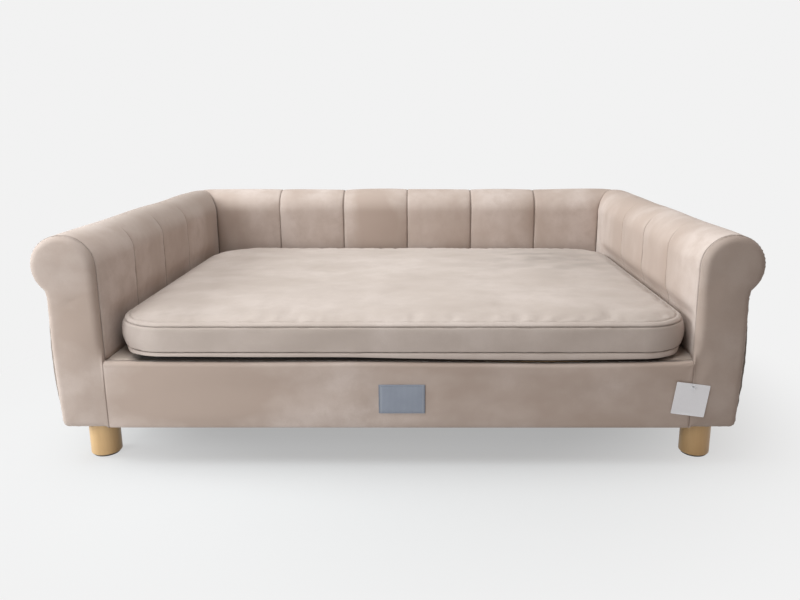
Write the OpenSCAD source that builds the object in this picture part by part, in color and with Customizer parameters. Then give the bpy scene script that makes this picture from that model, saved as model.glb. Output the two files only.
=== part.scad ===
// Dog sofa bed: an upholstered wooden frame on four screw-in legs, with a low
// surround of channelled, rolled arms and back and a loose zipped mattress.
// Millimetres, +Z up, +Y to the back. The origin is on the floor, under the middle.

/* [Overall size] */
// Width over the rolls of both arms
overall_w = 1067; // [900:1:1400]
// Depth from the front face to the outside of the back's roll
overall_d = 720; // [620:1:900]
// Height from the floor to the top of the arms and back
overall_h = 357; // [335:1:440]
// Height of the upholstery's underside above the floor
leg_h = 61; // [50:0.1:90]
// Height of the seat deck that the mattress lies on
seat_h = 167; // [155:0.5:185]

/* [Arms and back] */
// Thickness of the arms and the back below their rolls
arm_t = 72; // [68:0.5:78]
// Thickness of the roll along the top of the arms and the back
roll_d = 92.5; // [88:0.5:100]
// Thickness of the channelled pad on the inner faces
pad_t = 20; // [14:0.5:22]
// Thickness of the channelled pad around its roll
roll_pad_t = 16; // [12:0.5:18]
// Rise of a channel's middle above its seams
channel_puff = 7; // [3:0.5:9]
// Depth of the seams' dips along the top of the back
seam_dip = 2; // [0.5:0.5:4]
// Number of channels in the back
back_channels = 6; // [4:1:8]
// Width of the arm's first channel, behind the front
arm_first_w = 148; // [120:1:180]
// Width of each further whole channel of an arm
arm_channel_w = 134; // [110:1:160]
// Rounding of the outer corners in plan, as a share of the distance from the inner corner
corner_share = 0.76; // [0.5:0.01:0.85]
// Gap between two pads along their mitred corner seam
mitre_gap = 0.5; // [0.4:0.1:1]

/* [Front] */
// Thickness of the padded front face
face_pad_t = 12; // [10:0.5:14]
// Rounding of the arm fronts' edges
arm_edge_r = 8; // [4:0.5:9]
// Rounding of the arm front's edge beside the front rail
rail_seam_r = 1.5; // [0.5:0.5:3]
// Rounding of the front rail's top edge
rail_edge_r = 10; // [5:0.5:11]
// Width of the stitched patch on the front rail
patch_w = 70; // [40:1:120]
// Height of the stitched patch
patch_h = 46; // [30:1:60]
// Thickness of the stitched patch
patch_t = 1.2; // [0.8:0.1:2]
// Height of the patch's middle above the floor
patch_z = 109; // [100:1:120]
// Distance of the patch's middle to the right of the sofa's middle
patch_x = 5.5; // [-50:1:50]

/* [Frame] */
// Thickness of the frame's plywood boards
board_t = 15; // [12:0.5:16]
// Thickness of the hardboard on the outside of the arms and back
panel_t = 6; // [4:0.5:7]
// Thickness of the seat deck's plywood
deck_t = 9; // [6:0.5:12]
// Thickness of the outer fabric with its wadding
cover_t = 3; // [2:0.5:3.5]
// Thickness of the fabric on the seat deck
deck_cover_t = 2.4; // [1:0.1:3]
// Thickness of the black cloth under the frame
dust_cloth_t = 0.8; // [0.5:0.1:1.2]
// Width of a leg block across the sofa
block_w = 52; // [40:1:54]
// Depth of a leg block from front to back
block_d = 60; // [50:1:80]
// Height of a leg block
block_h = 32; // [26:1:36]
// Height of the middle beam under the deck
beam_h = 60; // [40:1:85]
// Thickness of the ledges that carry the deck
ledge_t = 18; // [12:1:24]
// Height of the ledges that carry the deck
ledge_h = 30; // [20:1:40]
// Height of the battens under the rolls
batten_h = 30; // [15:1:45]
// Clearance between pieces that lie on each other
fit = 0.3; // [0.25:0.05:0.4]

/* [Legs] */
// Diameter of a leg
leg_d = 46; // [40:1:56]
// Distance of a leg's axis from the outer side of its arm
leg_side_inset = 43; // [36:0.5:46]
// Distance of a leg's axis from the front face, and from the outside of the back
leg_end_inset = 47.5; // [45:0.5:55]
// Diameter of the felt glide under a leg
glide_d = 40; // [25:1:40]
// Thickness of the felt glide
glide_t = 3; // [2:0.5:5]
// Diameter of the hanger bolt
bolt_d = 8; // [6:1:10]
// Length of the bolt above the leg
bolt_out = 20; // [18:1:22]
// Length of the bolt inside the leg
bolt_in = 25; // [15:1:30]
// Outer diameter of the threaded insert
insert_d = 12.5; // [12:0.5:16]
// Length of the threaded insert
insert_l = 15; // [12:1:18]
// Outer diameter of the washer on top of a leg
washer_d = 24; // [18:1:30]
// Thickness of the washer
washer_t = 1.5; // [1:0.1:2]
// Clearance around the bolts, inserts and washers, on the radius
bore_fit = 0.2; // [0.15:0.05:0.3]

/* [Mattress] */
// Space beside the mattress at the widest channels
mattress_gap = 1; // [0.8:0.1:4]
// Space behind the mattress for its zip
zip_room = 8; // [7.5:0.5:14]
// Distance of the mattress behind the front face
mattress_setback = 2; // [0:0.5:10]
// Height of the border between its two seams
border_h = 42; // [36:1:60]
// Height of the lower seam above the deck
base_rise = 11; // [6:0.5:16]
// Height of the crown above the upper seam
crown_h = 18; // [8:1:30]
// How far the border swells out between its drawn-in seams
border_bulge = 2.5; // [1:0.5:4]
// Thickness of the border's cloth and lining
border_t = 3; // [2:0.5:4]
// Rounding of the mattress's front corners
front_corner_r = 80; // [50:1:110]
// Rounding of the mattress's back corners
back_corner_r = 95; // [60:1:120]

/* [Zip] */
// Length of the zip's tape
zip_l = 600; // [400:5:640]
// Height of the zip's tape
tape_h = 20; // [14:1:20]
// Thickness of the zip's tape
tape_t = 0.6; // [0.4:0.1:0.8]
// Height of the row of teeth
chain_h = 5; // [4:0.5:6]
// Thickness of the row of teeth
chain_t = 1.4; // [1:0.1:1.6]
// Width of the slider along the zip
slider_w = 12; // [9:0.5:15]
// Height of the slider across the zip
slider_h = 9.5; // [8.5:0.5:11]
// Thickness of the slider
slider_t = 3; // [2.8:0.1:3.2]
// Length of the pull below its pivot
pull_l = 24; // [16:1:30]
// Width of the pull
pull_w = 8; // [6:0.5:10]
// Thickness of the pull
pull_t = 0.8; // [0.6:0.1:0.9]

/* [Swing tag] */
// Side of the square card
tag_side = 50.5; // [35:0.5:60]
// Thickness of the card
tag_t = 0.7; // [0.4:0.1:0.9]
// Distance from the card's top edge to the middle of its hole
tag_hole_in = 4.6; // [4:0.1:7]
// Height of the tag's hole above the floor
tag_z = 129.4; // [120:0.1:140]
// Turn of the tag from hanging plumb, in degrees
tag_turn = 7.5; // [0:0.5:15]
// Diameter of the plastic pin that holds the tag
pin_d = 1.6; // [1.2:0.1:2]
// Length of the pin in front of the face
pin_l = 5; // [4:0.5:8]

/* [Hidden] */
$fn = 64;

// Colours of the materials
velvet = "#beac9e";
velvet_shade = "#a08c7d";
plywood = "#d8b98a";
beech = "#c79f6c";
hardboard = "#7a5a3c";
foam = "#efe3b4";
black_cloth = "#2b2a2a";
steel = "#b9bcc0";
brass = "#c9a24d";
felt = "#5b5650";
patch_grey = "#888c98";
card = "#e8e6ec";
clear_plastic = "#f2f2f2";
zip_brown = "#8f7d70";

// One overrun for every cut
cut = 1;

// Planes of the upholstery
seam_x = overall_w / 2 - roll_d;
seam_y = overall_d / 2 - roll_d;
front_y = -overall_d / 2;
back_side_y = seam_y + arm_t;
pad_front_y = front_y + face_pad_t + fit;
roll_r = roll_d / 2;
roll_z = overall_h - roll_r;
hollow_r = roll_r - roll_pad_t;
core_r = hollow_r - fit;

// Height at which an outer cover ends, just under the roll's overhang
cover_u = arm_t - cover_t;
cover_top = roll_z - sqrt(roll_r * roll_r - pow(cover_u - roll_r, 2)) - 2 * fit;

// Angle on the roll, below its axis, at which its pad meets the outer side
notch_angle = acos((arm_t - roll_r) / roll_r);

// Heights inside the frame
frame_z = leg_h + dust_cloth_t + fit;
block_top = frame_z + block_h;
deck_top = seat_h - deck_cover_t - 2 * fit;
rail_top = deck_top - deck_t - fit;

// Places of the boards, as distances outward from the inner seams
board_in = pad_t + fit;
board_out = board_in + board_t;
panel_out = arm_t - cover_t - fit;
panel_in = panel_out - panel_t;
batten_in = board_out + fit;
batten_out = panel_in - fit;
batten_top = roll_z - hollow_r;
board_front_y = pad_front_y;
board_back_y = board_front_y + board_t;
behind_front_y = board_back_y + fit;
back_board_y = seam_y + board_in;

// Centre of the rounded back corner of the outer covers
corner_r = corner_share * arm_t;
corner_in = arm_t - corner_r;
corner_x = seam_x + corner_in;
corner_y = seam_y + corner_in;

// Legs
leg_x = seam_x + arm_t - leg_side_inset;
leg_front_y = front_y + leg_end_inset;
leg_back_y = back_side_y - leg_end_inset;
block_lap = leg_front_y - behind_front_y;
washer_top = frame_z - fit;
leg_top = washer_top - washer_t - fit;
insert_r = insert_d / 2;
bolt_r = bolt_d / 2;

// Mattress
mattress_half_w = seam_x - channel_puff - mattress_gap - border_bulge;
mattress_front_y = front_y + mattress_setback + border_bulge;
mattress_back_y = seam_y - channel_puff - zip_room - border_bulge;
mattress_mid_y = (mattress_front_y + mattress_back_y) / 2;
mattress_half_d = (mattress_back_y - mattress_front_y) / 2;
lower_seam_z = seat_h + base_rise;
upper_seam_z = lower_seam_z + border_h;

// Zip, on the back of the border
tape_y = mattress_back_y + border_bulge + fit;
chain_y = tape_y + tape_t + fit;
zip_z = (lower_seam_z + upper_seam_z) / 2;
chain_half = zip_l / 2 - tape_h / 2;
slider_x = chain_half - slider_w;
slider_y = chain_y;
slider_top_y = slider_y + slider_t;
stud_r = 1.2;
stud_l = 1.8;
stud_head_r = 2.2;
stud_head_t = 0.6;

// Tag
tag_x = seam_x;
tag_y = front_y - fit - pin_d;
pin_foot_r = 2.5;
pin_foot_t = 0.8;

// The sofa's left side is the mirror image of its right side
module side(left) {
    if (left) mirror([1, 0, 0]) children();
    else children();
}

// A board given by its two opposite corners
module block(low, high) {
    translate(low) cube(high - low);
}

/* Swept pads */

// Heights of the rows on a pad's flat face, as shares from the deck to the roll's axis
face_row_shares = [0, 0.1, 0.5, 0.85];
// How much of a channel's rise each of those rows has
face_puff_shares = [0.35, 0.6, 1, 1];
roll_steps = 8;
hollow_steps = 6;
// Places of the rings along a plain channel, and along one that runs into a corner
plain_shares = [0, 0.1, 0.35, 0.65, 0.9];
corner_shares = [0, 0.06, 0.2, 0.4, 0.6, 0.75, 0.83, 0.89, 0.95];

// Rise across a channel, from a seam at 0 over the middle to the next seam at 1
function rise(t) = sqrt(max(0, 1 - pow(2 * t - 1, 2)));

// How much of a channel's rise, and of its seams' dip, the roll has at an angle
puff_power = 3;
dip_power = 0.7;
function roll_puff(a) = pow(max(0, -cos(a)), puff_power);
function roll_dip(a) = pow(max(0, sin(a)), dip_power);

roll_start = 180;
roll_end = -notch_angle;
function roll_angle(i) = roll_start + (roll_end - roll_start) * i / roll_steps;

// The hollow's sides lie outside its circle, so that the core clears them
hollow_start = 360 - acos((pad_t - roll_r) / hollow_r);
hollow_step = (hollow_start - roll_end) / hollow_steps;
hollow_point_r = hollow_r / cos(hollow_step / 2);
function hollow_angle(i) = hollow_start - hollow_step * i;

// A pad's outer line: place, outward normal, share of the rise and share of the dip
outer_line = concat(
    [for (i = [0:len(face_row_shares) - 1])
        [0, seat_h + (roll_z - seat_h) * face_row_shares[i], -1, 0, face_puff_shares[i], 0]],
    [for (i = [0:roll_steps])
        let (a = roll_angle(i))
        [roll_r + roll_r * cos(a), roll_z + roll_r * sin(a), cos(a), sin(a), roll_puff(a), roll_dip(a)]]
);
hollow_line = concat(
    [[pad_t, seat_h]],
    [for (i = [0:hollow_steps])
        let (a = hollow_angle(i))
        [roll_r + hollow_point_r * cos(a), roll_z + hollow_point_r * sin(a)]]
);

// One ring of a pad's section where the channel has risen by t, with seams dipped by dip
function pad_ring(t, dip) = concat(
    [for (p = outer_line)
        let (out = channel_puff * p[4] * rise(t) - dip * p[5] * (1 - rise(t)))
        [p[0] + p[2] * out, p[1] + p[3] * out]],
    [for (i = [len(hollow_line) - 1:-1:0]) hollow_line[i]]
);

// Distance along and outward of a line that runs a length to the inner corner, then
// rounds the outer corner as far as the mitre, at a share t of its whole way
function corner_way(out, run, t) =
    let (
        bend_r = corner_share * max(out, 0),
        straight = run + out - bend_r,
        s = t * (straight + bend_r * PI / 4),
        turn = s > straight ? (s - straight) / bend_r * 180 / PI : 0,
        back_off = t * mitre_gap / sqrt(2)
    )
    s <= straight ? [s - back_off, out]
    : [straight + bend_r * sin(turn) - back_off, out - bend_r * (1 - cos(turn))];

// A closed tube through rings of an outer line and a hollow line
module swept_pad(rings) {
    n = len(rings[0]);
    last = len(rings) - 1;
    outer_n = len(outer_line);
    hollow_last = len(hollow_line) - 1;
    function mate(j) = n - 1 - min(max(j - len(face_row_shares) + 1, 0), hollow_last);
    cap = concat(
        [for (j = [0:outer_n - 2]) [j, j + 1, mate(j)]],
        [for (j = [0:outer_n - 2]) if (mate(j + 1) != mate(j)) [j + 1, mate(j + 1), mate(j)]]
    );
    sides = [for (i = [0:last - 1], j = [0:n - 1])
        let (a = i * n + j, b = i * n + (j + 1) % n)
        each [[b, a, a + n], [b, a + n, b + n]]];
    polyhedron(
        points = [for (ring = rings) each ring],
        faces = concat(cap, sides, [for (f = cap) [f[2], f[1], f[0]] + last * n * [1, 1, 1]])
    );
}

// The channels of an arm's pad from its front: whole ones, then one into the corner
arm_run = seam_y - pad_front_y;
first_w = arm_first_w - face_pad_t - fit;
arm_wholes = max(1, floor((arm_run - first_w) / arm_channel_w));
arm_seams = [for (i = [0:arm_wholes]) i == 0 ? 0 : first_w + (i - 1) * arm_channel_w];
arm_last = arm_run - arm_seams[arm_wholes];

module arm_pad() {
    rings = concat(
        [for (i = [0:arm_wholes - 1], t = plain_shares)
            let (y = arm_seams[i] + t * (arm_seams[i + 1] - arm_seams[i]))
            [for (p = pad_ring(t, 0)) [seam_x + p[0], pad_front_y + y, p[1]]]],
        [for (t = concat(corner_shares, [1]))
            [for (p = pad_ring(t, 0))
                let (way = corner_way(p[0], arm_last, t))
                [seam_x + way[1], pad_front_y + arm_seams[arm_wholes] + way[0], p[1]]]]
    );
    swept_pad(rings);
}

back_channel_w = 2 * seam_x / back_channels;
back_inner_x = seam_x - back_channel_w;

// The back's pad, with its rings from the right corner to the left one
module back_pad() {
    function corner_ring(t) =
        [for (p = pad_ring(t, seam_dip))
            let (way = corner_way(p[0], back_channel_w, t))
            [back_inner_x + way[0], seam_y + way[1], p[1]]];
    rings = concat(
        [for (i = [len(corner_shares):-1:1]) corner_ring(concat(corner_shares, [1])[i])],
        [for (i = [1:back_channels - 2], t = plain_shares)
            let (x = seam_x - (i + t) * back_channel_w)
            [for (p = pad_ring(t, seam_dip)) [x, seam_y + p[0], p[1]]]],
        [for (t = concat(corner_shares, [1])) [for (p = corner_ring(t)) [-p[0], p[1], p[2]]]]
    );
    swept_pad(rings);
}

/* Arm fronts */

// The arm front's sides at rising heights: place, outward normal and edge rounding
front_arc_steps = 5;
front_arc_shares = [for (i = [0:front_arc_steps - 1]) i / front_arc_steps];
notch_z = roll_z - roll_r * sin(notch_angle);
notch_normal = [1, -(1 - cos(notch_angle)) / sin(notch_angle)];
under_shares = [0.6, 0.3];

front_right = concat(
    [[arm_t, leg_h, 1, -1, arm_edge_r], [arm_t, seat_h, 1, 0, arm_edge_r],
        [arm_t, notch_z, notch_normal[0], notch_normal[1], arm_edge_r]],
    [for (s = under_shares)
        let (a = -notch_angle * s)
        [roll_r + roll_r * cos(a), roll_z + roll_r * sin(a), cos(a), sin(a), arm_edge_r]],
    [for (s = front_arc_shares)
        let (a = 90 * s)
        [roll_r + roll_r * cos(a), roll_z + roll_r * sin(a), cos(a), sin(a), arm_edge_r]]
);
front_left = [for (i = [0:len(front_right) - 1])
    let (p = front_right[i])
    p[1] > roll_z ? [roll_d - p[0], p[1], -p[2], p[3], arm_edge_r]
    : i == 0 ? [0, p[1], -rail_seam_r / arm_edge_r, -1, arm_edge_r]
    : [0, p[1], -1, 0, p[1] > seat_h ? arm_edge_r : rail_seam_r]];
front_top = [[roll_r, overall_h, 0, 1, arm_edge_r]];
edge_steps = 3;

module arm_front_pad() {
    outline = concat(front_left, front_top,
        [for (i = [len(front_right) - 1:-1:0]) front_right[i]]);
    n = len(outline);
    half = len(front_left);
    rings = concat(
        [for (q = [0:edge_steps])
            let (a = 90 * (1 - q / edge_steps))
            [for (p = outline)
                let (in = p[4] * (1 - cos(a)))
                [seam_x + p[0] - p[2] * in, front_y + p[4] * (1 - sin(a)), p[1] - p[3] * in]]],
        [[for (p = outline) [seam_x + p[0], front_y + face_pad_t, p[1]]]]
    );
    last = len(rings) - 1;
    cap = concat(
        [for (j = [0:half - 2]) each [[j, j + 1, n - 2 - j], [j, n - 2 - j, n - 1 - j]]],
        [[half - 1, half, half + 1]]
    );
    polyhedron(
        points = [for (ring = rings) each ring],
        faces = concat(
            cap,
            [for (i = [0:last - 1], j = [0:n - 1])
                let (a = i * n + j, b = i * n + (j + 1) % n)
                each [[b, a, a + n], [b, a + n, b + n]]],
            [for (f = cap) [f[2], f[1], f[0]] + last * n * [1, 1, 1]]
        )
    );
}

/* Frame */

module front_rail() color(plywood)
    block([-seam_x, board_front_y, frame_z], [seam_x, board_back_y, rail_top]);

module side_rail(left) color(plywood) side(left)
    block([seam_x + board_in, behind_front_y + block_d + fit, frame_z],
        [seam_x + board_out, leg_back_y + block_lap - block_d - fit, block_top]);

module back_rail() color(plywood)
    block([-leg_x + block_w / 2 + fit, back_board_y, frame_z],
        [leg_x - block_w / 2 - fit, back_board_y + board_t, block_top]);

module centre_beam() color(plywood)
    block([-board_t / 2, behind_front_y, rail_top - beam_h],
        [board_t / 2, back_board_y - ledge_t - 2 * fit, rail_top]);

module deck_ledges() color(beech) {
    for (left = [false, true]) side(left)
        block([seam_x + pad_t - ledge_t, behind_front_y, rail_top - ledge_h],
            [seam_x + pad_t, back_board_y - ledge_t - 2 * fit, rail_top]);
    block([-seam_x - pad_t, back_board_y - ledge_t - fit, rail_top - ledge_h],
        [seam_x + pad_t, back_board_y - fit, rail_top]);
}

module seat_deck() color(plywood)
    block([-seam_x - pad_t, board_front_y, deck_top - deck_t],
        [seam_x + pad_t, back_board_y - fit, deck_top]);

// The depth of the blind bore clears the tip of the bolt
module leg_blocks() color(beech)
    for (left = [false, true]) side(left)
        for (back = [false, true])
            let (
                axis_y = back ? leg_back_y : leg_front_y,
                low_y = back ? leg_back_y + block_lap - block_d : behind_front_y
            )
            difference() {
                block([leg_x - block_w / 2, low_y, frame_z],
                    [leg_x + block_w / 2, low_y + block_d, block_top]);
                translate([leg_x, axis_y, frame_z - cut])
                    cylinder(h = leg_top + bolt_out + fit - frame_z + cut, r = insert_r + bore_fit);
            }

module at_legs()
    for (left = [false, true]) side(left)
        for (y = [leg_front_y, leg_back_y]) translate([leg_x, y, 0]) children();

module leg_inserts() color(brass) at_legs() translate([0, 0, frame_z]) difference() {
    cylinder(h = insert_l, r = insert_r);
    translate([0, 0, -cut]) cylinder(h = insert_l + 2 * cut, r = bolt_r + bore_fit);
}

module arm_front_board(left) color(plywood) side(left)
    translate([seam_x, board_back_y, 0]) rotate([90, 0, 0]) linear_extrude(board_t) {
        translate([fit, frame_z]) square([panel_out - fit, rail_top - frame_z]);
        translate([board_in, frame_z]) square([panel_out - board_in, cover_top - frame_z]);
        translate([board_in, frame_z]) square([batten_out - board_in, roll_z - frame_z]);
        translate([roll_r, roll_z]) circle(core_r);
    }

module arm_inner_board(left) color(plywood) side(left)
    block([seam_x + board_in, behind_front_y, block_top + fit],
        [seam_x + board_out, back_board_y + board_t, batten_top]);

module arm_batten(left) color(beech) side(left)
    block([seam_x + batten_in, behind_front_y, batten_top - batten_h],
        [seam_x + batten_out, corner_y, batten_top]);

module arm_outer_panel(left) color(hardboard) side(left)
    block([seam_x + panel_in, behind_front_y, frame_z], [seam_x + panel_out, corner_y, cover_top]);

module back_inner_board() color(plywood)
    block([-seam_x - pad_t, back_board_y, block_top + fit],
        [seam_x + pad_t, back_board_y + board_t, batten_top]);

module back_batten() color(beech)
    block([-corner_x, seam_y + batten_in, batten_top - batten_h],
        [corner_x, seam_y + batten_out, batten_top]);

module back_outer_panel() color(hardboard)
    block([-corner_x, seam_y + panel_in, frame_z], [corner_x, seam_y + panel_out, cover_top]);

// Quarter-round posts that carry the covers round the back corners
module corner_posts() color(beech)
    for (left = [false, true]) side(left)
        translate([corner_x, corner_y, block_top + fit]) rotate_extrude(angle = 90)
            translate([panel_out - corner_in - board_t, 0])
                square([board_t, cover_top - block_top - fit]);

module roll_core(length) rotate([-90, 0, 0]) cylinder(h = length, r = core_r);

roll_bend_r = corner_share * roll_r;
roll_straight_y = seam_y + roll_r - roll_bend_r;
roll_straight_x = seam_x + roll_r - roll_bend_r;

module arm_roll_core(left) color(foam) side(left)
    translate([seam_x + roll_r, behind_front_y, roll_z])
        roll_core(roll_straight_y - fit - behind_front_y);

module back_roll_core() color(foam)
    translate([fit - roll_straight_x, seam_y + roll_r, roll_z])
        rotate([0, 0, -90]) roll_core(2 * (roll_straight_x - fit));

// Bent foam rolls in the corners, cut in flat facets
bend_sides = 12;
core_sides = 16;

module corner_roll_cores() color(foam)
    for (left = [false, true]) side(left)
        translate([roll_straight_x, roll_straight_y, roll_z])
            rotate_extrude(angle = 90, $fn = bend_sides)
                translate([roll_bend_r, 0]) circle(core_r, $fn = core_sides);

/* Upholstery */

module arm_channel_pad(left) color(velvet) side(left) arm_pad();

module back_channel_pad() color(velvet) back_pad();

module arm_front_pad_side(left) color(velvet) side(left) arm_front_pad();

module front_rail_pad() color(velvet)
    translate([fit - seam_x, 0, 0]) rotate([90, 0, 90])
        linear_extrude(2 * (seam_x - fit)) difference() {
            translate([front_y, leg_h]) square([face_pad_t, seat_h - fit - leg_h]);
            translate([front_y, seat_h - fit - rail_edge_r]) difference() {
                translate([-cut, 0]) square([rail_edge_r + cut, rail_edge_r + cut]);
                translate([rail_edge_r, 0]) circle(rail_edge_r);
            }
        }

// A cover's rounded corner, from the arm's side as far as the mitre
module cover_corner() rotate_extrude(angle = 45)
    translate([corner_r - cover_t, 0]) square([cover_t, cover_top - leg_h]);

module arm_outer_cover(left) color(velvet_shade) side(left) {
    block([seam_x + cover_u, pad_front_y, leg_h], [seam_x + arm_t, corner_y, cover_top]);
    translate([corner_x, corner_y, leg_h]) cover_corner();
}

module back_outer_cover() color(velvet_shade) {
    block([-corner_x, seam_y + cover_u, leg_h], [corner_x, back_side_y, cover_top]);
    for (left = [false, true]) side(left)
        translate([corner_x, corner_y, leg_h]) rotate([0, 0, 90]) mirror([0, 1, 0]) cover_corner();
}

module deck_cover() color(velvet_shade)
    block([-seam_x - pad_t, board_front_y, deck_top + fit],
        [seam_x + pad_t, back_board_y - fit, seat_h - fit]);

cloth_corner_r = panel_out - corner_in;
cloth_hole_gap = 1;
cloth_cut_sides = 8;

module dust_cloth() color(black_cloth) translate([0, 0, leg_h]) difference() {
    linear_extrude(dust_cloth_t) difference() {
        translate([-seam_x - panel_out, pad_front_y])
            square([2 * (seam_x + panel_out), corner_y + cloth_corner_r - pad_front_y]);
        for (left = [false, true]) side(left) translate([corner_x, corner_y]) difference() {
            square([cloth_corner_r + cut, cloth_corner_r + cut]);
            circle(cloth_corner_r);
        }
    }
    at_legs() translate([0, 0, -cut])
        cylinder(h = dust_cloth_t + 2 * cut, $fn = cloth_cut_sides,
                 r = (washer_d / 2 + cloth_hole_gap) / cos(180 / cloth_cut_sides));
}

// Staples along the cloth's edges
staple_l = 12;
staple_w = 1.2;
staple_t = 0.5;
staple_edge = 6;
staple_pitch = 68;

module staple() translate([-staple_l / 2, -staple_w / 2, leg_h - fit - staple_t])
    cube([staple_l, staple_w, staple_t]);

module staples() color(steel) {
    half_n = floor(leg_x / staple_pitch);
    for (i = [-half_n:half_n]) {
        translate([i * staple_pitch, pad_front_y + staple_edge, 0]) staple();
        translate([i * staple_pitch, seam_y + panel_out - staple_edge, 0]) staple();
    }
    side_n = floor((corner_y - behind_front_y) / staple_pitch);
    for (left = [false, true], i = [0:side_n - 1]) side(left)
        translate([seam_x + panel_out - staple_edge, behind_front_y + (i + 1) * staple_pitch - staple_l, 0])
            rotate([0, 0, 90]) staple();
}

module front_patch() color(patch_grey)
    translate([patch_x, 0, patch_z])
        block([-patch_w / 2, front_y - fit - patch_t, -patch_h / 2],
            [patch_w / 2, front_y - fit, patch_h / 2]);

// Plastic pin with a foot on the seam and a head before the card
module tag_pin() color(clear_plastic) translate([tag_x, front_y - fit, tag_z]) rotate([90, 0, 0]) {
    cylinder(h = pin_l, r = pin_d / 2);
    cylinder(h = pin_foot_t, r = pin_foot_r);
    translate([0, 0, pin_l - pin_foot_t]) cylinder(h = pin_foot_t, r = pin_foot_r);
}

module swing_tag() color(card) translate([tag_x, tag_y, tag_z]) rotate([0, tag_turn, 0])
    difference() {
        block([-tag_side / 2, -tag_t, tag_hole_in - tag_side], [tag_side / 2, 0, tag_hole_in]);
        translate([0, cut, 0]) rotate([90, 0, 0])
            cylinder(h = tag_t + 2 * cut, r = pin_d / 2 + fit);
    }

/* Legs */

// Puts a leg's piece at the front or back, on the left or right
module at_leg(left, back) side(left)
    translate([leg_x, back ? leg_back_y : leg_front_y, 0]) children();

module leg(left, back) color(beech) at_leg(left, back) {
    translate([0, 0, glide_t]) difference() {
        cylinder(h = leg_top - glide_t, r = leg_d / 2);
        translate([0, 0, leg_top - glide_t - bolt_in - fit])
            cylinder(h = bolt_in + fit + cut, r = bolt_r + bore_fit);
    }
    cylinder(h = glide_t, r = glide_d / 2);
}

module leg_bolt(left, back) color(steel) at_leg(left, back)
    translate([0, 0, leg_top - bolt_in]) cylinder(h = bolt_in + bolt_out, r = bolt_r);

module leg_washer(left, back) color(steel) at_leg(left, back)
    translate([0, 0, washer_top - washer_t]) difference() {
        cylinder(h = washer_t, r = washer_d / 2);
        translate([0, 0, -cut]) cylinder(h = washer_t + 2 * cut, r = bolt_r + bore_fit);
    }

/* Mattress */

corner_segments = 6;
least_corner_share = 0.12;

// The mattress's outline in plan, drawn in by a distance, as points at one height
function mattress_ring(in, z) =
    [for (q = [0:3], s = [0:corner_segments])
        let (
            turn = 90 * (q - 1 + s / corner_segments),
            seam_r = q == 1 || q == 2 ? back_corner_r : front_corner_r,
            r = max(seam_r - in, seam_r * least_corner_share),
            centre_x = (q < 2 ? 1 : -1) * (mattress_half_w - in - r),
            centre_y = mattress_mid_y + (q == 1 || q == 2 ? 1 : -1) * (mattress_half_d - in - r)
        )
        [centre_x + r * cos(turn), centre_y + r * sin(turn), z]];

// A closed solid through rings from the top down, with a flat fan at each end
module capped_rings(rings, top_z, bottom_z) {
    n = len(rings[0]);
    last = len(rings) - 1;
    top = (last + 1) * n;
    polyhedron(
        points = concat([for (ring = rings) each ring],
            [[0, mattress_mid_y, top_z], [0, mattress_mid_y, bottom_z]]),
        faces = concat(
            [for (j = [0:n - 1]) [top, (j + 1) % n, j]],
            [for (i = [0:last - 1], j = [0:n - 1])
                let (a = i * n + j, b = i * n + (j + 1) % n)
                each [[a, b, b + n], [a, b + n, a + n]]],
            [for (j = [0:n - 1]) [top + 1, last * n + j, last * n + (j + 1) % n]]
        )
    );
}

module mattress_foam() color(foam)
    translate([0, 0, lower_seam_z]) linear_extrude(border_h)
        polygon([for (p = mattress_ring(border_t + fit, 0)) [p[0], p[1]]]);

// Places of the crown's rings, as shares of the way in from the seam
crown_shares = [1, 0.6, 0.38, 0.22, 0.11, 0.035, 0];
crown_span_share = 0.66;
crown_power = 0.45;
function crown_rise(s) = pow(1 - pow(1 - s, 2), crown_power);

module mattress_top_panel() color(velvet)
    let (
        span = mattress_half_d * crown_span_share,
        edge_t = border_t / 2,
        rings = concat(
            [for (s = crown_shares)
                mattress_ring(s * span, upper_seam_z + edge_t + (crown_h - edge_t) * crown_rise(s))],
            [mattress_ring(0, upper_seam_z + fit)]
        )
    )
    capped_rings(rings, upper_seam_z + crown_h, upper_seam_z + fit);

// The border's outer side, as shares of its height and of its swell
border_rows = [[1, 0], [0.92, 0.6], [0.8, 1], [0.2, 1], [0.08, 0.6], [0, 0]];

module mattress_border() color(velvet)
    let (
        rings = concat(
            [for (row = border_rows)
                mattress_ring(-border_bulge * row[1], lower_seam_z + border_h * row[0])],
            [mattress_ring(border_t, lower_seam_z), mattress_ring(border_t, upper_seam_z)]
        ),
        n = len(rings[0]),
        rows = len(rings)
    )
    polyhedron(
        points = [for (ring = rings) each ring],
        faces = [for (i = [0:rows - 1], j = [0:n - 1])
            let (a = i * n + j, b = i * n + (j + 1) % n, down = (i + 1) % rows * n - i * n)
            each [[a, b, b + down], [a, b + down, a + down]]]
    );

base_steps = 4;
base_tuck = 16;

module mattress_bottom_panel() color(velvet_shade)
    let (
        rings = [for (i = [0:base_steps])
            let (a = 90 * i / base_steps)
            mattress_ring(base_tuck * (1 - cos(a)), lower_seam_z - fit - (base_rise - fit) * sin(a))]
    )
    capped_rings(rings, lower_seam_z - fit, seat_h);

/* Zip */

module zip_tape() color(zip_brown)
    block([-zip_l / 2, tape_y, zip_z - tape_h / 2], [zip_l / 2, tape_y + tape_t, zip_z + tape_h / 2]);

module zip_chain() color(zip_brown)
    block([-chain_half, chain_y, zip_z - chain_h / 2],
        [chain_half, chain_y + chain_t, zip_z + chain_h / 2]);

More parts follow.
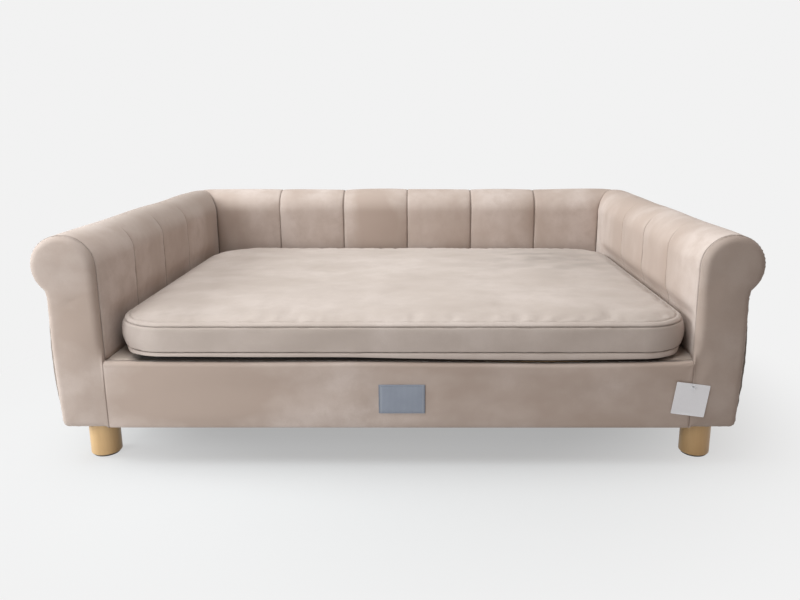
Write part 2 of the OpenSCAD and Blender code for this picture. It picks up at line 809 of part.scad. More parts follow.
// The slider straddles the teeth, with a headed stud for the pull on its back
module zip_slider() color(steel) translate([slider_x, slider_y, zip_z]) {
    difference() {
        block([-slider_w / 2, 0, -slider_h / 2], [slider_w / 2, slider_t, slider_h / 2]);
        block([-slider_w / 2 - cut, -cut, -chain_h / 2 - fit],
            [slider_w / 2 + cut, chain_t + fit, chain_h / 2 + fit]);
    }
    translate([0, slider_t, 0]) rotate([-90, 0, 0]) {
        cylinder(h = stud_l, r = stud_r);
        translate([0, 0, stud_l]) cylinder(h = stud_head_t, r = stud_head_r);
    }
}

pull_gap = (stud_l - pull_t) / 2;

module zip_pull() color(steel)
    translate([slider_x, slider_top_y + pull_gap + pull_t, zip_z]) rotate([90, 0, 0])
        linear_extrude(pull_t) difference() {
            union() {
                circle(pull_w / 2);
                translate([-pull_w / 2, -pull_l + pull_w / 2]) square([pull_w, pull_l - pull_w / 2]);
                translate([0, -pull_l + pull_w / 2]) circle(pull_w / 2);
            }
            circle(stud_r + bore_fit);
        }

front_rail();
side_rail(true);  // side_rail_left
side_rail(false);  // side_rail_right
back_rail();
centre_beam();
deck_ledges();
seat_deck();
leg_blocks();
leg_inserts();
arm_front_board(true);  // arm_front_board_left
arm_front_board(false);  // arm_front_board_right
arm_inner_board(true);  // arm_inner_board_left
arm_inner_board(false);  // arm_inner_board_right
arm_batten(true);  // arm_batten_left
arm_batten(false);  // arm_batten_right
arm_outer_panel(true);  // arm_outer_panel_left
arm_outer_panel(false);  // arm_outer_panel_right
back_inner_board();
back_batten();
back_outer_panel();
corner_posts();
arm_roll_core(true);  // arm_roll_core_left
arm_roll_core(false);  // arm_roll_core_right
back_roll_core();
corner_roll_cores();
arm_channel_pad(true);  // arm_channel_pad_left
arm_channel_pad(false);  // arm_channel_pad_right
back_channel_pad();
arm_front_pad_side(true);  // arm_front_pad_left
arm_front_pad_side(false);  // arm_front_pad_right
front_rail_pad();
arm_outer_cover(true);  // arm_outer_cover_left
arm_outer_cover(false);  // arm_outer_cover_right
back_outer_cover();
deck_cover();
dust_cloth();
staples();
front_patch();
tag_pin();
swing_tag();
leg(true, false);  // leg_front_left
leg(false, false);  // leg_front_right
leg(true, true);  // leg_back_left
leg(false, true);  // leg_back_right
leg_bolt(true, false);  // leg_bolt_front_left
leg_bolt(false, false);  // leg_bolt_front_right
leg_bolt(true, true);  // leg_bolt_back_left
leg_bolt(false, true);  // leg_bolt_back_right
leg_washer(true, false);  // leg_washer_front_left
leg_washer(false, false);  // leg_washer_front_right
leg_washer(true, true);  // leg_washer_back_left
leg_washer(false, true);  // leg_washer_back_right
mattress_foam();
mattress_top_panel();
mattress_border();
mattress_bottom_panel();
zip_tape();
zip_chain();
zip_slider();
zip_pull();
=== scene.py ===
import math

import bmesh
import bpy
import numpy as np
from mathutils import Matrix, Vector, geometry, noise


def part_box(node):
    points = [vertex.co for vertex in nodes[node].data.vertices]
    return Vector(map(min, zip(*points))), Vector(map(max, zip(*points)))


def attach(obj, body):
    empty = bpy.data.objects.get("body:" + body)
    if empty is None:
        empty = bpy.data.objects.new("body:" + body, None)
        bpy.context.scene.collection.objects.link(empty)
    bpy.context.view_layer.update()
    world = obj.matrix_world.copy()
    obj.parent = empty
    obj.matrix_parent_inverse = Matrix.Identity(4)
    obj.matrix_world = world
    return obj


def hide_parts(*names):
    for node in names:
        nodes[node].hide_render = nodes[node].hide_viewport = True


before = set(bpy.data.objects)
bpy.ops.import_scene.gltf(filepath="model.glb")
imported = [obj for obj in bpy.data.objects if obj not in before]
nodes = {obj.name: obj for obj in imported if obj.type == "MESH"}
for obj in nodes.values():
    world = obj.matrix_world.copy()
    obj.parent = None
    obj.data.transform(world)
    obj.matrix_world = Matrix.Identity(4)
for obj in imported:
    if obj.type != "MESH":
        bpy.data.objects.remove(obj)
scene = bpy.context.scene
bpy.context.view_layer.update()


# The camera stands a metre in front of the sofa, 4 cm to the right of its middle, and looks
# down on the mattress by 13 degrees. The picture is 800 by 600 at a focal length of 705 pixels.
photo_lens = bpy.data.cameras.new("photo_camera")
photo_lens.sensor_width = 36
photo_lens.lens = 36 * 704.6 / 800
photo_lens.shift_x = -0.02685
photo_lens.shift_y = -0.0267
camera = bpy.data.objects.new("photo_camera", photo_lens)
camera.location = (0.0389, -1.3528, 0.5232)
camera.rotation_euler = (math.radians(77.04), math.radians(0.07), math.radians(0.2))
scene.collection.objects.link(camera)
scene.camera = camera
scene.view_settings.view_transform = "Standard"


# The studio is a pale floor under a large soft lamp, with a second one farther off on the left,
# and a weak low one before the left arm, whose light falls off to the right. Behind is plain grey.
def add(tree, kind, inputs=None, **settings):
    """Adds a node, sets or links its inputs, and returns it."""
    made = tree.nodes.new(kind)
    for name, value in settings.items():
        setattr(made, name, value)
    for name, value in (inputs or {}).items():
        if isinstance(value, bpy.types.NodeSocket):
            tree.links.new(value, made.inputs[name])
        else:
            made.inputs[name].default_value = value
    return made


def reckon(tree, how, *values):
    """A sum worked out from values or sockets."""
    return add(tree, "ShaderNodeMath", dict(enumerate(values)), operation=how).outputs[0]


def ramp(tree, value, start, end, most=1.0):
    """Rises from 0 to most while the value goes from start to end."""
    return add(tree, "ShaderNodeMapRange", {"Value": value, 1: start, 2: end, 4: most}).outputs[0]


def on_piece(tree):
    return add(tree, "ShaderNodeTexCoord").outputs["Object"]


def parts_of(tree, vector):
    return add(tree, "ShaderNodeSeparateXYZ", {0: vector}).outputs


def seen_or_mirrored(tree):
    path = add(tree, "ShaderNodeLightPath").outputs
    either = reckon(tree, "MAXIMUM", path["Is Camera Ray"], path["Is Glossy Ray"])
    return reckon(tree, "MAXIMUM", either, path["Is Transmission Ray"])


pale_grey = (0.887, 0.887, 0.887, 1)
scene.world = bpy.data.worlds.new("studio")
scene.world.use_nodes = True
sky = scene.world.node_tree
sky.nodes.clear()
dim = add(sky, "ShaderNodeBackground", {"Color": (1.0, 0.865, 0.79, 1), "Strength": 0.335})
plain = add(sky, "ShaderNodeBackground", {"Color": pale_grey, "Strength": 1.0})
both = add(sky, "ShaderNodeMixShader", {0: seen_or_mirrored(sky), 1: dim.outputs[0], 2: plain.outputs[0]})
add(sky, "ShaderNodeOutputWorld", {"Surface": both.outputs[0]})

floor_paint = bpy.data.materials.new("floor_paint")
floor_paint.use_nodes = True
floor_tree = floor_paint.node_tree
floor_tree.nodes.clear()
from_middle = add(floor_tree, "ShaderNodeVectorMath", {0: on_piece(floor_tree)}, operation="LENGTH")
fade = add(floor_tree, "ShaderNodeMapRange", {"Value": from_middle.outputs["Value"], 1: 0.35, 2: 0.85, 3: 0.45},
           interpolation_type="SMOOTHSTEP")
far_seen = reckon(floor_tree, "MULTIPLY", fade.outputs[0], seen_or_mirrored(floor_tree))
near_floor = add(floor_tree, "ShaderNodeBsdfDiffuse", {"Color": (0.56, 0.56, 0.56, 1)})
far_floor = add(floor_tree, "ShaderNodeEmission", {"Color": pale_grey, "Strength": 1.0})
floor_mix = add(floor_tree, "ShaderNodeMixShader", {0: far_seen, 1: near_floor.outputs[0], 2: far_floor.outputs[0]})
add(floor_tree, "ShaderNodeOutputMaterial", {"Surface": floor_mix.outputs[0]})

floor_mesh = bpy.data.meshes.new("floor")
floor_rim = [(12 * math.cos(a), 12 * math.sin(a), -0.0004) for a in np.linspace(0, 2 * math.pi, 64, endpoint=False)]
floor_mesh.from_pydata(floor_rim, [], [list(range(64))])
floor_mesh.materials.append(floor_paint)
floor = bpy.data.objects.new("floor", floor_mesh)
scene.collection.objects.link(floor)


def soft_lamp(name, place, target, size, power, tint):
    data = bpy.data.lights.new(name, "AREA")
    data.shape = "SQUARE"
    data.size = size
    data.energy = power
    data.color = tint
    lamp = bpy.data.objects.new(name, data)
    lamp.location = place
    lamp.rotation_euler = (Vector(target) - Vector(place)).to_track_quat("-Z", "Y").to_euler()
    scene.collection.objects.link(lamp)


soft_lamp("ceiling_lamp", (-0.5, -0.3, 2.3), (-0.1, 0, 0.2), 1.8, 46, (0.90, 0.972, 1))
soft_lamp("left_lamp", (-2.8, -0.3, 1.5), (0.2, 0, 0.2), 1.2, 72, (0.89, 0.965, 1))
soft_lamp("low_lamp", (-0.9, -1.1, 0.5), (-0.3, -0.36, 0.2), 0.5, 5.2, (0.93, 0.98, 1))


# Boards of birch plywood, glued up from thin plies: the frame's rails, the seat deck, and the
# boards inside the arms and back. Their faces show the grain and their sawn edges the plies.
def finish(name, values):
    """A new material with these values on its main shader."""
    made = bpy.data.materials.new(name)
    made.use_nodes = True
    shader = next(n for n in made.node_tree.nodes if n.type == "BSDF_PRINCIPLED")
    for socket, value in values.items():
        shader.inputs[socket].default_value = value
    return made, made.node_tree, shader


def spot(tree, scale=(1, 1, 1), place=(0, 0, 0)):
    """Places on the piece, stretched by scale."""
    return add(tree, "ShaderNodeMapping", {"Vector": on_piece(tree), "Scale": scale, "Location": place}).outputs[0]


def blend(tree, share, low, high, mode="MIX"):
    """A colour between two others, each a colour or a socket."""
    return add(tree, "ShaderNodeMix", {0: share, 6: low, 7: high}, data_type="RGBA", blend_type=mode).outputs[2]


def paint(tree, shader, tone):
    tree.links.new(tone, shader.inputs["Base Color"])


def speckle(tree, where, scale, detail=2.0, roughness=0.5):
    return add(tree, "ShaderNodeTexNoise", {"Vector": where, "Scale": scale, "Detail": detail,
                                            "Roughness": roughness}).outputs["Fac"]


def relief(tree, shader, layers):
    """Bumps of (height socket, depth in metres, strength), one over the other."""
    under = None
    for height, depth, strength in layers:
        inputs = {"Height": height, "Distance": depth, "Strength": strength}
        if under:
            inputs["Normal"] = under
        under = add(tree, "ShaderNodeBump", inputs).outputs[0]
    tree.links.new(under, shader.inputs["Normal"])


def dress(material, *names):
    """Gives CAD nodes their finish."""
    for name in names:
        piece = nodes[name]
        if not piece.material_slots:
            piece.data.materials.append(None)
        for place in piece.material_slots:
            place.material = material


def long_and_thin(name):
    low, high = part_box(name)
    size = [high[i] - low[i] for i in range(3)]
    return size.index(max(size)), size.index(min(size))


def wood(name, light, dark, long_axis, fine=70.0):
    """Straight-grained wood, its grain along an axis."""
    made, tree, shader = finish(name, {"Roughness": 0.6, "Specular IOR Level": 0.3})
    stretch = [1.0, 1.0, 1.0]
    stretch[long_axis] = 0.06
    where = spot(tree, stretch)
    grain = speckle(tree, where, fine, 5, 0.6)
    pores = speckle(tree, where, fine * 9, 2)
    tone = blend(tree, grain, light, dark)
    tone = blend(tree, ramp(tree, pores, 0.56, 0.7, 0.35), tone, dark)
    paint(tree, shader, tone)
    relief(tree, shader, [(pores, 0.0002, 0.35)])
    return made, tree, shader, tone


ply_pair = 0.003
birch_kinds = {}
for board in ("front_rail", "side_rail_left", "side_rail_right", "back_rail", "centre_beam", "seat_deck",
              "arm_front_board_left", "arm_front_board_right", "arm_inner_board_left",
              "arm_inner_board_right", "back_inner_board"):
    axes = long_and_thin(board)
    if axes not in birch_kinds:
        made, tree, shader, face_tone = wood("plywood_" + "xyz"[axes[0]] + "xyz"[axes[1]],
                                             (0.66, 0.47, 0.27, 1), (0.53, 0.35, 0.18, 1), axes[0], 38.0)
        across = parts_of(tree, on_piece(tree))[axes[1]]
        plies = reckon(tree, "SINE", reckon(tree, "MULTIPLY", across, 2 * math.pi / ply_pair))
        facing = parts_of(tree, add(tree, "ShaderNodeNewGeometry").outputs["Normal"])[axes[1]]
        sawn = reckon(tree, "LESS_THAN", reckon(tree, "ABSOLUTE", facing), 0.5)
        banded = blend(tree, ramp(tree, plies, -0.4, 0.4), (0.42, 0.26, 0.13, 1), (0.68, 0.5, 0.3, 1))
        paint(tree, shader, blend(tree, sawn, face_tone, banded))
        birch_kinds[axes] = made
    dress(birch_kinds[axes], board)


# Solid beech, sawn square: the ledges that carry the deck, the battens under the rolls, the
# posts in the back corners, and the blocks that the legs screw into.
beech_kinds = [wood("beech_" + "xyz"[axis], (0.62, 0.4, 0.22, 1), (0.5, 0.3, 0.15, 1), axis, 55.0)[0]
               for axis in range(3)]
dress(beech_kinds[0], "deck_ledges", "back_batten")
dress(beech_kinds[1], "arm_batten_left", "arm_batten_right")
dress(beech_kinds[2], "corner_posts", "leg_blocks")


# Hardboard, pressed from brown fibres: the stiff sheets under the cloth on the outside of the
# arms and the back, nailed to the frame with their smooth side out.
hardboard, tree, shader = finish("hardboard", {"Roughness": 0.55, "Specular IOR Level": 0.35})
fibres = speckle(tree, spot(tree), 260.0, 4, 0.7)
paint(tree, shader, blend(tree, fibres, (0.19, 0.1, 0.05, 1), (0.29, 0.17, 0.09, 1)))
relief(tree, shader, [(fibres, 0.0002, 0.3)])
dress(hardboard, "arm_outer_panel_left", "arm_outer_panel_right", "back_outer_panel")


# Cream upholstery foam: the cut rolls that round the arms, the back and the corners, and the
# slab inside the mattress.
foam, tree, shader = finish("foam", {"Roughness": 0.95, "Specular IOR Level": 0.1})
cells = add(tree, "ShaderNodeTexVoronoi", {"Vector": spot(tree), "Scale": 900.0}, feature="F1").outputs["Distance"]
paint(tree, shader, blend(tree, cells, (0.6, 0.5, 0.26, 1), (0.86, 0.77, 0.5, 1)))
relief(tree, shader, [(cells, 0.0006, 0.6)])
dress(foam, "arm_roll_core_left", "arm_roll_core_right", "back_roll_core", "corner_roll_cores", "mattress_foam")


# The hardware of the legs: brass inserts pressed into the blocks, and zinc-plated hanger bolts
# and washers. The bolts carry a thread of 1.25 mm pitch.
def metal(name, tone, rough):
    made, tree, shader = finish(name, {"Metallic": 1.0, "Roughness": rough, "Base Color": tone})
    rub_and_shade = speckle(tree, spot(tree), 700.0, 3)
    tree.links.new(add(tree, "ShaderNodeMapRange", {"Value": rub_and_shade, 3: rough - 0.08, 4: rough + 0.14}).outputs[0],
                   shader.inputs["Roughness"])
    return made, tree, shader


brass = metal("brass", (0.78, 0.56, 0.24, 1), 0.32)[0]
zinc = metal("zinc_plate", (0.62, 0.63, 0.65, 1), 0.34)[0]
thread_steel, tree, shader = metal("threaded_steel", (0.6, 0.61, 0.63, 1), 0.38)
thread_pitch = 0.00125
threads = reckon(tree, "PINGPONG", parts_of(tree, on_piece(tree))[2], thread_pitch)
relief(tree, shader, [(reckon(tree, "MULTIPLY", threads, 1 / thread_pitch), 0.0006, 0.8)])
dress(brass, "leg_inserts")
corners = [end + "_" + side for end in ("front", "back") for side in ("left", "right")]
dress(zinc, *["leg_washer_" + corner for corner in corners])
dress(thread_steel, *["leg_bolt_" + corner for corner in corners])


# The channelled pads line the arms and the back. Each is one length of short-pile velvet over
# foam, sewn down in vertical channels, pulled over the roll and tacked to the outer side. The
# pads meet in a mitred seam at each back corner; the back's channels run on over its top.
def velvet(name, light, dark, sweep=(1.0, 1.0, 1.0), patchy=0.1):
    """Short-pile velvet: brushed patches and a fine nap, darkened further by two attributes: one for brushed pile and
    painted shade, one for painted shade in seams and under the mattress.
    """
    made, tree, shader = finish(name, {"Roughness": 0.85, "Specular IOR Level": 0.12, "Sheen Weight": 0.2,
                                       "Sheen Roughness": 0.4, "Sheen Tint": (1.0, 0.95, 0.91, 1)})
    where = spot(tree)
    brushed = speckle(tree, spot(tree, sweep), 5.5, 4, 0.5)
    crushed = speckle(tree, where, 30.0, 5, 0.62)
    nap = speckle(tree, where, 900.0, 2, 0.6)
    tone = blend(tree, ramp(tree, brushed, 0.5 - patchy, 0.5 + patchy), light, dark)
    tone = blend(tree, ramp(tree, crushed, 0.42, 0.66, 0.5), tone, dark)
    tone = blend(tree, ramp(tree, nap, 0.35, 0.7, 0.3), tone, dark)
    # Darker by an attribute: partly brushed pile, partly painted shade on the arm fronts and the left roll top.
    rub_and_shade = add(tree, "ShaderNodeAttribute", attribute_name="brushed").outputs["Fac"]
    tone = blend(tree, rub_and_shade, tone, tuple(0.72 * c for c in dark[:3]) + (1,))
    # Much darker by a second attribute: painted shade along the seams, behind the arm fronts' outer edges, on the rail
    # under the mattress, and on the mattress's underside.
    sewn = add(tree, "ShaderNodeAttribute", attribute_name="sewn").outputs["Fac"]
    tone = blend(tree, sewn, tone, tuple(0.42 * c for c in dark[:3]) + (1,))
    paint(tree, shader, tone)
    relief(tree, shader, [(crushed, 0.0008, 0.25), (nap, 0.00025, 0.4)])
    return made


velvet_light, velvet_dark = (0.58, 0.490, 0.443, 1), (0.43, 0.338, 0.287, 1)
lining_velvet = velvet("velvet_channels", velvet_light, velvet_dark, (1.3, 1.3, 0.5))

seam_x, seam_y, pad_front, seat, roll_z, roll_r = 0.441, 0.2675, -0.3477, 0.167, 0.31075, 0.04625
channel_puff, corner_share, mitre_gap = 0.007, 0.76, 0.0005

face_rows = np.linspace(seat, roll_z, 23)
roll_turn = np.radians(np.linspace(180, -56.2, 41))[1:]
line_u = np.concatenate([0 * face_rows, roll_r + roll_r * np.cos(roll_turn)])
line_z = np.concatenate([face_rows, roll_z + roll_r * np.sin(roll_turn)])
line_nu = np.concatenate([0 * face_rows - 1, np.cos(roll_turn)])
line_nz = np.concatenate([0 * face_rows, np.sin(roll_turn)])
line_puff = np.concatenate([np.interp((face_rows - seat) / (roll_z - seat), [0, 0.1, 0.5, 1], [0.35, 0.6, 1, 1]),
                            np.clip(-np.cos(roll_turn), 0, 1) ** 3])
beside_bed = np.concatenate([1 - 1 / (1 + np.exp(-(face_rows - 0.240) / 0.004)), 0 * roll_turn])
bed_press = {-1: 0.0, 1: 0.0077}
line_dip = np.concatenate([0 * face_rows, np.clip(np.sin(roll_turn), 0, 1) ** 0.7])
line_way = np.concatenate([[0], np.cumsum(np.hypot(np.diff(line_u), np.diff(line_z)))])
hollow_r = 0.0302
hollow_turn = np.radians(np.linspace(209.8, -56.2, 41))[1:]
hollow_u = np.concatenate([0 * face_rows + 0.02, roll_r + hollow_r * np.cos(hollow_turn)])
hollow_z = np.concatenate([np.linspace(seat, roll_z - 0.015, 23), roll_z + hollow_r * np.sin(hollow_turn)])


def marks(length, step=0.0065):
    """Distances along a channel, close together next to its seams."""
    near = np.array([0, 0.0004, 0.0009, 0.0016, 0.0026, 0.0042, 0.0065, 0.0095, 0.0135])
    middle = np.linspace(near[-1], length - near[-1], max(3, int((length - 2 * near[-1]) / step)) + 1)
    return np.concatenate([near[:-1], middle, (length - near[:-1])[::-1]])


def wander(points, size, seed):
    """Smooth noise at each point, about -0.5 to 0.5."""
    return np.array([noise.noise(Vector((p[0] / size + seed, p[1] / size - seed, p[2] / size))) for p in points])


def corner_way(out, run, share):
    """Distance along and outward, where a line at a distance out rounds the corner to the mitre."""
    bend = corner_share * np.maximum(out, 0)
    straight = run + out - bend
    way = share * (straight + bend * math.pi / 4)
    turn = np.where(way > straight, (way - straight) / np.maximum(bend, 1e-6), 0)
    back_off = share * mitre_gap / math.sqrt(2)
    return (np.where(way > straight, straight + bend * np.sin(turn), way) - back_off,
            np.where(way > straight, out - bend * (1 - np.cos(turn)), out))


def grid_faces(rows, columns, closed=False):
    """Quads of a grid of points; closed joins its last column to its first."""
    return [(i * columns + j, i * columns + (j + 1) % columns,
             (i + 1) * columns + (j + 1) % columns, (i + 1) * columns + j)
            for i in range(rows - 1) for j in range(columns if closed else columns - 1)]


def tube_faces(rings, around):
    """Quads of a tube of rings, and a face over each end."""
    last = (rings - 1) * around
    return grid_faces(rings, around, closed=True) + [list(range(around)), list(range(last, last + around))]


def face_outward(mesh, weld=0.0):
    """Turns a mesh's faces outward, after joining places closer together than weld."""
    work = bmesh.new()
    work.from_mesh(mesh)
    if weld:
        bmesh.ops.remove_doubles(work, verts=work.verts, dist=weld)
    bmesh.ops.recalc_face_normals(work, faces=work.faces)
    work.to_mesh(mesh)
    work.free()


def shell(name, points, faces, material, body, slot, smooth=True, **attributes):
    """A closed piece with its faces outward, riding on its body."""
    mesh = bpy.data.meshes.new(name)
    mesh.from_pydata([tuple(map(float, p)) for p in points], [], faces)
    for key, values in attributes.items():
        mesh.attributes.new(key, "FLOAT", "POINT").data.foreach_set("value", np.asarray(values, np.float32))
    face_outward(mesh)
    mesh.polygons.foreach_set("use_smooth", [smooth] * len(mesh.polygons))
    mesh.materials.append(material)
    made = bpy.data.objects.new(name, mesh)
    scene.collection.objects.link(made)
    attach(made, body)
    return made


def channel_rings(length, seed, dip, over_the_top, first_sewn=True):
    """Offsets of the outer line along one channel, its shares of painted seam shade, and the distances of its rings."""
    ways = marks(length)
    offsets, sewn = [], []
    roll_share = np.clip(line_puff * 1.6 - 0.35, 0, 1) if not over_the_top else np.ones_like(line_puff)
    for way in ways:
        rise = math.sqrt(max(0, 1 - (2 * way / length - 1) ** 2))
        near = min(way, length - way)
        groove = math.exp(-(near / 0.0013) ** 2) * roll_share
        if way < length / 2 and not first_sewn:
            groove = groove * 0
        pulled = math.exp(-near / 0.009) * roll_share
        row = seed * 3.1 + (way > length / 2) * 5.7
        tucks = np.array([noise.noise(Vector((w / 0.011, row, near / 0.02))) for w in line_way])
        out = channel_puff * line_puff * rise - dip * line_dip * (1 - rise) - 0.0013 * groove + 0.0011 * pulled * tucks
        offsets.append(out)
        # Painted shade along the seam's groove.
        sewn.append(0.62 * groove)
    return ways, np.array(offsets), np.array(sewn)


def lining(name, rings, sewn, material, brushed=0.0):
    """A closed pad from rings of (outer line, hollow line), with painted shade in its seams and a share of painted
    shade on its top.
    """
    count = len(rings[0])
    half = count // 2
    faces = grid_faces(len(rings), count, closed=True)
    last = (len(rings) - 1) * count
    for start in (0, last):
        faces += [(start + j, start + j + 1, start + count - 2 - j, start + count - 1 - j) for j in range(half - 1)]
    points = np.concatenate(rings)
    # Painted shade on the top of the roll, by the given share.
    on_top = np.clip((points[:, 2] - roll_z) / 0.03, 0, 1) * np.clip((points[:, 1] + 0.40) / 0.3, 0, 1)
    return shell(name, points, faces, material, "frame", "velvet", sewn=np.concatenate(sewn), brushed=brushed * on_top)


def arm_lining(side):
    """An arm's pad, from its front to the mitre; side is -1 on the left and 1 on the right."""
    run = seam_y - pad_front
    seams = [0, 0.1357, 0.2697, 0.4037]
    rings, shades = [], []
    for i in range(4):
        length = (seams[i + 1] if i < 3 else run) - seams[i]
        ways, offsets, sewn = channel_rings(length, i + 4 * side, 0.002 if i == 3 else 0.0, False, i > 0)
        for way, out, shade in list(zip(ways, offsets, sewn))[0 if i == 0 else 1:]:
            if i == 3 and way < length / 2:
                out = out + 0.002 * line_dip * (1 - math.sqrt(max(0, 1 - (2 * way / length - 1) ** 2)))
            pressed = np.minimum(out, 0.0012 - bed_press[side])
            held = beside_bed * min(1, 0.3 + (seams[i] + way) / 0.04) * min(1, max(0, (0.57 - seams[i] - way) / 0.06))
            out = out * (1 - held) + pressed * held
            u, z = line_u + line_nu * out, line_z + line_nz * out
            if i < 3:
                y = np.full_like(u, pad_front + seams[i] + way)
                inner = np.full_like(hollow_u, pad_front + seams[i] + way)
                ring_u, hollow_at = u, hollow_u
            else:
                along, ring_u = corner_way(u, length, way / length)
                hollow_along, hollow_at = corner_way(hollow_u, length, way / length)
                y, inner = pad_front + seams[3] + along, pad_front + seams[3] + hollow_along
            outer = np.stack([side * (seam_x + ring_u), y, z], 1)
            hollow = np.stack([side * (seam_x + hollow_at), inner, hollow_z], 1)[::-1]
            rings.append(np.concatenate([outer, hollow]))
            shades.append(np.concatenate([shade, 0 * shade]))
    name = "arm_lining_" + ("left" if side < 0 else "right")
    # Only the left arm's roll top gets painted shade.
    return lining(name, rings, shades, lining_velvet, 0.7 if side < 0 else 0.0)


def back_lining():
    """The back's pad, of six channels, from the left mitre to the right one."""
    width = 2 * seam_x / 6
    rings, shades = [], []
    for i in range(6):
        ways, offsets, sewn = channel_rings(width, 20 + i, 0.002, True)
        for way, out, shade in list(zip(ways, offsets, sewn))[0 if i == 0 else 1:]:
            u, z = line_u + line_nu * out, line_z + line_nz * out
            if i in (0, 5):
                share = way / width if i == 5 else 1 - way / width
                along, ring_u = corner_way(u, width, share)
                hollow_along, hollow_at = corner_way(hollow_u, width, share)
                sign = 1 if i == 5 else -1
                x, inner = sign * (2 * width + along), sign * (2 * width + hollow_along)
            else:
                x = np.full_like(u, -seam_x + i * width + way)
                inner, ring_u, hollow_at = x.copy(), u, hollow_u
            outer = np.stack([x, seam_y + ring_u, z], 1)
            hollow = np.stack([inner, seam_y + hollow_at, hollow_z], 1)[::-1]
            rings.append(np.concatenate([outer, hollow]))
            shades.append(np.concatenate([shade, 0 * shade]))
    return lining("back_lining", rings, shades, lining_velvet)


def vertex_values(mesh, key="co"):
    values = np.zeros(len(mesh.vertices) * 3)
    mesh.vertices.foreach_get(key, values)
    return values.reshape(-1, 3)


def soften(piece, depth, size, seed, keep=None):
    """Lets a piece's surface rise and fall gently, as foam under cloth does."""
    mesh = piece.data
    points, normals = vertex_values(mesh), vertex_values(mesh, "normal")
    amount = depth * wander(points, size, seed)
    if keep is not None:
        amount = amount * keep(points)
    mesh.vertices.foreach_set("co", (points + normals * amount[:, None]).ravel())
    mesh.update()


for side, name in ((-1, "left"), (1, "right")):
    pad = arm_lining(side)
    soften(pad, 0.0017, 0.13, 3.0 * side, lambda p: np.clip((p[:, 2] - 0.25) / 0.03, 0.1, 1) *
           np.clip((p[:, 1] - pad_front) / 0.03, 0, 1) * np.clip((0.33 - p[:, 1]) / 0.04, 0, 1))
    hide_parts("arm_channel_pad_" + name)
pad = back_lining()
soften(pad, 0.0017, 0.13, 9.0, lambda p: np.clip((p[:, 2] - 0.25) / 0.03, 0.1, 1) *
       np.clip((0.5 - np.abs(p[:, 0])) / 0.04, 0, 1))
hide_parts("back_channel_pad")


# The arm fronts are flat padded shields, cut to the arm's outline and sewn to the pads behind
# them with a seam just behind the rounded edge. Beside the rail the edge is nearly sharp.
front_velvet = velvet("velvet_front", velvet_light, velvet_dark, (0.8, 0.8, 1.4))
front_y, arm_t, under, face_t, neck = -0.360, 0.072, 0.0610, 0.0118, 0.2646
toe_r, tag_x, tag_z = 0.009, 0.441, 0.1294


def arm_side(z):
    """How far the arm front's outer side stands out at a height: it swells, more so towards its neck."""
    share = np.clip((z - under) / (neck - under), 0, 1)
    return arm_t + np.where(share < 0.6, 0.0032 * np.sin(math.pi / 2 * share / 0.6),
                            0.0032 - 0.0012 * ((share - 0.6) / 0.4) ** 2)


def arm_outline():
    """The arm front's outline as (outward, height) from its inner bottom corner, and how its edge is rounded."""
    toe = [(arm_t - toe_r + toe_r * math.cos(a), under + toe_r + toe_r * math.sin(a))
           for a in np.linspace(-math.pi / 2, 0, 9)]
    roll = [(roll_r + roll_r * math.cos(a), roll_z + roll_r * math.sin(a))
            for a in np.radians(np.linspace(-50, 180, 90))]
    inner = [(0.0, z) for z in np.linspace(roll_z, under, 40)[1:]]
    outer = [(float(arm_side(z)), z) for z in np.linspace(0.08, neck, 30)]
    line = np.array([(0.02, under), (0.04, under)] + toe + outer + roll + inner)
    dense = []
    for a, b in zip(line, np.roll(line, -1, 0)):
        count = max(1, int(np.hypot(*(b - a)) / 0.0015))
        dense += [a + (b - a) * k / count for k in range(count)]
    dense = np.array(dense)
    sharp = (dense[:, 0] < 0.0005) & (dense[:, 1] < 0.2)
    ease = np.clip((dense[:, 1] - seat) / 0.02, 0, 1)
    return dense, np.where(sharp, 0.0015 + 0.009 * ease, 0.0105)


def border_round(rows, columns):
    """Indices round the edge of a grid, in order."""
    last = (rows - 1) * columns
    return (list(range(columns)) + [i * columns + columns - 1 for i in range(1, rows)] +
            [last + j for j in range(columns - 2, -1, -1)] + [i * columns for i in range(rows - 2, 0, -1)])


def flat_by_the_tag(x, z, puff):
    """Keeps padding from standing out where the swing tag hangs and swings."""
    reach, fade, proud = 0.090, 0.02, 0.0013
    near = np.clip((reach - np.hypot(x - tag_x, z - tag_z)) / fade, 0, 1)
    return puff - near * np.maximum(0, puff - proud)


